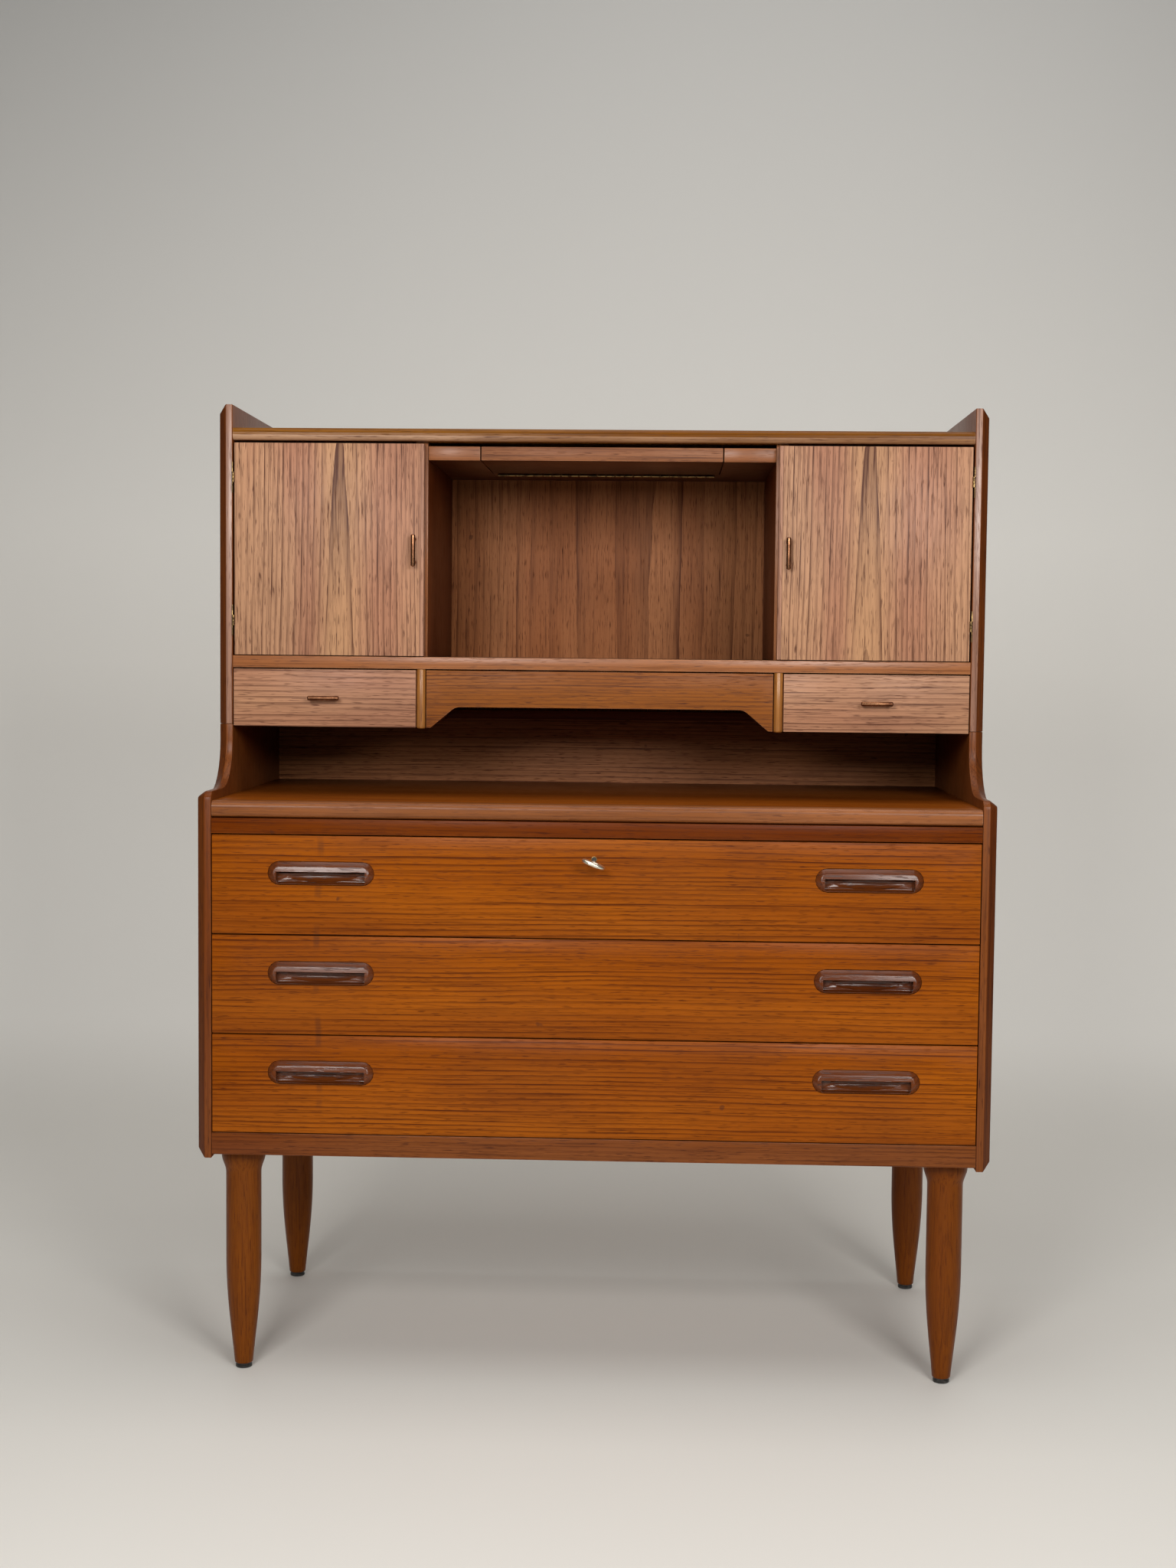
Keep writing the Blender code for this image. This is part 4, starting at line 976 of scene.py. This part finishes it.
def addScrew(name, place, along, radius=0.0024, head=0.0006):
    # A countersunk screw head with its slot.
    profile = [
        (radius * 0.94, 0.0), (radius, head * 0.35), (radius * 0.92, head), (radius * 0.55, head * 1.25),
    ]
    screw = addTurned(name, profile, (0, 0, 0), "Z", 20)
    reach, half = radius * 1.3, radius * 0.16
    slot = addBlock("slot", (-reach, -half, head * 0.6), (reach, half, head * 3))
    cutAway(screw, slot)
    turn = axes["Z"].rotation_difference(Vector(along)).to_matrix().to_4x4()
    screw.matrix_world = Matrix.Translation(Vector(place)) @ turn @ Matrix.Rotation(place[0] * 40, 4, "Z")
    return applyPlace(screw)


pianoHinge = {"pin": 0.002, "end": 0.00155, "knuckles": 24, "screws": 7}


def buildFlapHinge():
    # A piano hinge: a leaf under the ceiling and knuckles along the flap's rear edge.
    low, high = boxOf("flap_hinge")
    pinRadius, endRadius = pianoHinge["pin"], pianoHinge["end"]
    pinY, pinZ = low.y + pinRadius, low.z + pinRadius
    pitch = (high.x - low.x) / pianoHinge["knuckles"]
    first = addTurned(
        "knuckle",
        [(endRadius, 0.0), (pinRadius, 0.0004), (pinRadius, pitch - 0.0012), (endRadius, pitch - 0.0008)],
        (low.x + 0.0004, pinY, pinZ), "X", 18,
    )
    parts = [first]
    for step in range(1, pianoHinge["knuckles"]):
        parts.append(copyPiece(first, "knuckle", (pitch * step, 0, 0)))
    leafTop = high.z
    leafLow = (low.x, pinY + 0.0006, leafTop - 0.001)
    parts.append(addBoard("hingeLeaf", leafLow, (high.x, high.y, leafTop), 0.0002))
    for step in range(pianoHinge["screws"]):
        x = low.x + (high.x - low.x) * (step + 0.5) / pianoHinge["screws"]
        place = (x, high.y - 0.005, leafTop - 0.0010)
        parts.append(addScrew("hingeScrew", place, (0, 0, -1), 0.0020, 0.0004))
    piece = joinPieces("pianoHinge", parts)
    finish(piece, dullBrass, "case", "flap_hinge", angle=35)


doorHinge = {"barrel": 0.014, "radius": 0.0019, "plate": 0.0012}


def buildDoorHinges():
    for word, sign in sides:
        for level in ("lower", "upper"):
            node = "door_hinge_%s_%s" % (level, word)
            low, high = boxOf(node)
            radius = doorHinge["radius"]
            pinX = low.x + radius if sign > 0 else high.x - radius  # on the door's side of the plate
            middleZ = (low.z + high.z) / 2
            tall = doorHinge["barrel"] / 3
            parts = []
            for step in range(3):
                base = middleZ - doorHinge["barrel"] / 2 + step * tall
                barrel = [
                    (radius * 0.82, base + 0.0002), (radius, base + 0.0005),
                    (radius, base + tall - 0.0005), (radius * 0.82, base + tall - 0.0002),
                ]
                parts.append(addTurned("barrel", barrel, (pinX, low.y + radius, 0), "Z", 20))
            thick = doorHinge["plate"]
            x0, x1 = (high.x - thick, high.x) if sign > 0 else (low.x, low.x + thick)
            parts.append(addBoard("plate", (x0, low.y + radius, low.z), (x1, high.y, high.z), 0.0002))
            for share in (0.2, 0.5, 0.8):
                screwZ = low.z + (high.z - low.z) * share
                place = (x0 if sign > 0 else x1, high.y - 0.006, screwZ)
                parts.append(addScrew("hingeScrew", place, (-sign, 0, 0), 0.0018, 0.00035))
            piece = joinPieces("doorHinge%s%s" % (level.title(), word.title()), parts)
            finish(piece, dullBrass, "case", node, angle=35)


mirror = {"bevel": 0.009, "drop": 0.0009}


def onRim(co, rim):
    return min(abs(co.x - rim[0]), abs(co.x - rim[1]), abs(co.y - rim[2]), abs(co.y - rim[3])) < 1e-6


def buildFlap():
    piece = bevelEdges(copyNode("mirror_flap", "mirrorFlap"), 0.0008, 2)
    look = woodMaterial(
        "flapVeneer", "teakPale", "X", (0.1, 0.3, 0.8),
        light=(0.34, 0.13, 0.05), middle=(0.26, 0.085, 0.028),
    )
    finish(piece, look, "flap", "mirror_flap")
    # painted shade: the flap's downward faces get the near-black underside wood
    shadedUnderside = woodMaterial("flapUnderside", "teakDark", "X", (0.3, 0.4, 0.7))
    assignFaces(piece, shadedUnderside, lambda centre, normal: normal.z < -0.5)
    low, high = boxOf("mirror")
    glass = addBlock("mirrorGlass", low, high)
    selectFaces(glass, lambda centre, normal: normal.z > 0.9)
    bpy.ops.mesh.inset(thickness=mirror["bevel"])
    rim = (low.x, high.x, low.y, high.y)
    selectVerts(glass, lambda co: co.z > high.z - 1e-6 and onRim(co, rim))
    bpy.ops.transform.translate(value=(0, 0, -mirror["drop"]))
    bpy.ops.object.mode_set(mode="OBJECT")
    finish(glass, silvering, "flap", "mirror", angle=3)


key = {
    "width": 0.031, "depth": 0.021, "thick": 0.0056, "section": 0.46, "tilt": math.radians(21),
    "holeRise": 0.0034,
}


def isCap(centre, normal, middle):
    # The flat end faces of a ring turned round a line along Y.
    fromMiddle = Vector((centre.x - middle[0], centre.z - middle[2])).length
    return abs(normal.y) > 0.95 and fromMiddle < 0.001


def buildKey():
    # An oval bow with a rounded section, a collared shaft and the bit inside the lock.
    front = boxOf("drawer_1_front")[0].y
    hole = Vector(next(joint for joint in frame["joints"] if joint["name"] == "key_turn")["pos_m"])
    low, high = boxOf("key")
    shaftFront = low.y + key["depth"] - 0.002
    clearSelection()
    bpy.ops.mesh.primitive_torus_add(
        major_segments=64, minor_segments=20, major_radius=1.0, minor_radius=key["section"]
    )
    bow = bpy.context.active_object
    full = 2 * (1 + key["section"])
    bow.scale = (key["width"] / full, key["depth"] / full, key["thick"] / (2 * key["section"]))
    bow.location = (hole.x, low.y + key["depth"] / 2, hole.z)
    applyPlace(bow)
    shaft = addTurned(
        "shaft",
        [
            (0.0020, 0.0), (0.0027, 0.0006), (0.0027, 0.0022), (0.0020, 0.0030), (0.0020, 0.0042),
            (0.0026, 0.0048), (0.0026, 0.0060), (0.0018, 0.0068), (0.0018, high.y - shaftFront),
        ],
        (hole.x, shaftFront, hole.z), "Y", 28,
    )
    bit = addBoard(
        "bit", (hole.x - 0.006, high.y - 0.003, hole.z - 0.0008), (hole.x, high.y, hole.z + 0.0008), 0.0002
    )
    piece = joinPieces("key", [bow, shaft, bit])
    tilt = Matrix.Translation(hole) @ Matrix.Rotation(key["tilt"], 4, "Y") @ Matrix.Translation(-hole)
    piece.data.transform(tilt)
    finish(piece, paleBrass, "key_body", "key", angle=40)
    bolt = bevelEdges(copyNode("lock_bolt", "lockBolt"), 0.0006, 3)
    finish(bolt, steel, "bolt_body", "lock_bolt")
    # the round keyhole above the shaft: a black bore, its face just proud of the front, is the painted shade
    # inside the hole, in a thin rubbed ring
    above = (hole.x, front, hole.z + key["holeRise"])
    keyholeShade = addTurned("keyholeBore", [(0.0012, -0.0002), (0.0027, -0.0002), (0.0027, 0.002)], above, "Y", 32)
    finish(keyholeShade, blackPlastic, "drawer_1", angle=30)
    ring = addTurned(
        "keyholeRing",
        [(0.0025, -0.00005), (0.0030, -0.0004), (0.0035, -0.0003), (0.0037, 0.0), (0.0037, 0.002)],
        above, "Y", 32,
    )
    selectFaces(ring, lambda centre, normal: isCap(centre, normal, above))
    bpy.ops.mesh.delete(type="FACE")
    bpy.ops.object.mode_set(mode="OBJECT")
    finish(ring, dullBrass, "drawer_1", angle=30)


def buildBackScrews():
    # Slotted screws round both back panels.
    low, high = boxOf("chest_back")
    top = boxOf("cabinet_back")[1].z
    joint = boxOf("cabinet_back")[0].z
    rows = [(low.z + 0.02, 7), (joint - 0.018, 7), (joint + 0.018, 7), (top - 0.018, 7)]
    first = addScrew("screwModel", (0, 0, 0), (0, 1, 0), 0.0034, 0.0008)
    parts = []
    for z, count in rows:
        for step in range(count):
            x = low.x + 0.03 + (high.x - low.x - 0.06) * step / (count - 1)
            parts.append(copyPiece(first, "backScrew", (x, high.y, z)))
    for sign in (-1, 1):
        for z in (low.z + 0.16, low.z + 0.30, joint - 0.13, joint + 0.13, joint + 0.25):
            parts.append(copyPiece(first, "backScrew", (sign * (high.x - 0.012), high.y, z)))
    bpy.data.objects.remove(first, do_unlink=True)
    finish(joinPieces("backScrews", parts), steel, "case", angle=30)


stage = {"near": -7.0, "bend": 1.10, "bendRadius": 0.85, "halfWidth": 7.0, "height": 5.0, "steps": 20}


def buildStage():
    # A seamless sweep: the floor runs back, bends up and goes on as the wall.
    clearSelection()
    depth = stage["bend"] - stage["near"]
    bpy.ops.mesh.primitive_plane_add(size=1, location=(0, stage["near"] + depth / 2, 0))
    sweep = bpy.context.active_object
    sweep.name = "sweep"
    sweep.scale = (2 * stage["halfWidth"], depth, 1)
    applyPlace(sweep)
    selectVerts(sweep, lambda co: co.y > stage["near"] + depth / 2)
    along, up = 0.0, 0.0
    for step in range(1, stage["steps"] + 1):
        angle = math.pi / 2 * step / stage["steps"]
        toAlong = stage["bendRadius"] * math.sin(angle)
        toUp = stage["bendRadius"] * (1 - math.cos(angle))
        bpy.ops.mesh.extrude_region_move(TRANSFORM_OT_translate={"value": (0, toAlong - along, toUp - up)})
        along, up = toAlong, toUp
    bpy.ops.mesh.extrude_region_move(TRANSFORM_OT_translate={"value": (0, 0, stage["height"] - up)})
    bpy.ops.mesh.select_all(action="SELECT")
    bpy.ops.mesh.normals_make_consistent(inside=False)
    bpy.ops.object.mode_set(mode="OBJECT")
    if sweep.data.polygons[0].normal.z < 0:
        sweep.data.flip_normals()
    makeActive(sweep)
    bpy.ops.object.shade_smooth()
    return sweep


def sweepMaterial(sweep):
    material, tree, shader, place = newMaterial("backdropPaper")
    mottle = noise(tree, place, 4.0, 0.6, 3.0)
    tall = addNode(tree, "SeparateXYZ", {0: place}).outputs[2]
    # painted shade: the floor is darker than the foot of the wall, and the wall darkens towards the top,
    # where less lamp light falls
    floorShadeBand = ramp(tree, tall, 0.0, 0.15)
    upperShadeBand = ramp(tree, tall, 0.9, 2.9, kind="LINEAR")
    colour = blendColour(tree, floorShadeBand, (0.80, 0.78, 0.735, 1), (0.94, 0.92, 0.875, 1))
    colour = blendColour(tree, upperShadeBand, colour, (0.44, 0.44, 0.432, 1))
    colour = blendColour(tree, calc(tree, "MULTIPLY", mottle, 0.06), colour, (0.6, 0.58, 0.55, 1))
    tree.links.new(colour, shader.inputs["Base Color"])
    shader.inputs["Roughness"].default_value = 0.7
    shader.inputs["Specular IOR Level"].default_value = 0.2
    clear = addNode(tree, "BsdfTransparent")
    behind = addNode(tree, "NewGeometry").outputs["Backfacing"]
    shadow = addNode(tree, "LightPath").outputs["Is Shadow Ray"]
    either = calc(tree, "MAXIMUM", behind, shadow)
    mixed = addNode(tree, "MixShader", {0: either, 1: shader.outputs[0], 2: clear.outputs[0]})
    tree.links.new(mixed.outputs[0], tree.nodes["Material Output"].inputs["Surface"])
    sweep.data.materials.append(material)


studio = {
    "lamps": (
        {"name": "softboxLeft", "place": (-0.65, -2.6, 1.65), "aim": (0, 0, 0.7), "size": 0.8, "power": 32},
        {"name": "softboxRight", "place": (1.05, -2.6, 1.65), "aim": (0, 0, 0.7), "size": 0.8, "power": 33},
        {"name": "overhead", "place": (0, -0.6, 3.3), "aim": (0, -0.3, 0), "size": 2.2, "power": 32},
        {"name": "backdropLamp", "place": (0.5, 0.5, 3.2), "aim": (0.5, 1.95, 0.4), "size": 1.6, "power": 10},
    ),
    "ambient": (0.80, 0.80, 0.80), "ambientStrength": 0.12,
}


def buildLights():
    for light in studio["lamps"]:
        data = bpy.data.lights.new(light["name"], "AREA")
        data.shape = "SQUARE"
        data.size = light["size"]
        data.energy = light["power"]
        data.color = (1.0, 0.985, 0.96)
        lamp = bpy.data.objects.new(light["name"], data)
        place = Vector(light["place"])
        facing = (Vector(light["aim"]) - place).to_track_quat("-Z", "Y")
        lamp.matrix_world = Matrix.Translation(place) @ facing.to_matrix().to_4x4()
        bpy.context.scene.collection.objects.link(lamp)
    world = bpy.data.worlds.new("studio")
    world.use_nodes = True
    background = world.node_tree.nodes["Background"]
    background.inputs["Color"].default_value = (*studio["ambient"], 1)
    background.inputs["Strength"].default_value = studio["ambientStrength"]
    bpy.context.scene.world = world
    bpy.context.scene.view_settings.view_transform = "Standard"


camera = {
    "place": (0.0832, -2.7888, 0.9319), "lens": 47.461, "sensor": 36.0,
    "yaw": math.radians(2.047), "pitch": math.radians(-3.644), "roll": math.radians(-0.565),
}


def buildCamera():
    data = bpy.data.cameras.new("camera")
    data.sensor_width = camera["sensor"]
    data.lens = camera["lens"]
    eye = bpy.data.objects.new("camera", data)
    level = Matrix.Rotation(math.pi / 2, 4, "X")
    turn = Matrix.Rotation(camera["yaw"], 4, "Z") @ Matrix.Rotation(camera["pitch"], 4, "X")
    eye.matrix_world = (
        Matrix.Translation(Vector(camera["place"])) @ turn @ Matrix.Rotation(camera["roll"], 4, "Y") @ level
    )
    bpy.context.scene.collection.objects.link(eye)
    bpy.context.scene.camera = eye


buildCamera()
buildLights()
sweepMaterial(buildStage())
print("camera, lights and sweep placed")
buildSides()
buildTop()
buildCarcass()
print("carcass done")
buildLeaf()
buildDoors()
buildFronts()
buildDrawerBoxes()
print("doors, leaf and drawers done")
buildGrips()
buildLegs()
print("grips and legs done")
buildPulls()
buildFlapHinge()
buildDoorHinges()
buildFlap()
buildKey()
buildBackScrews()
print("hardware done")

clearSelection()
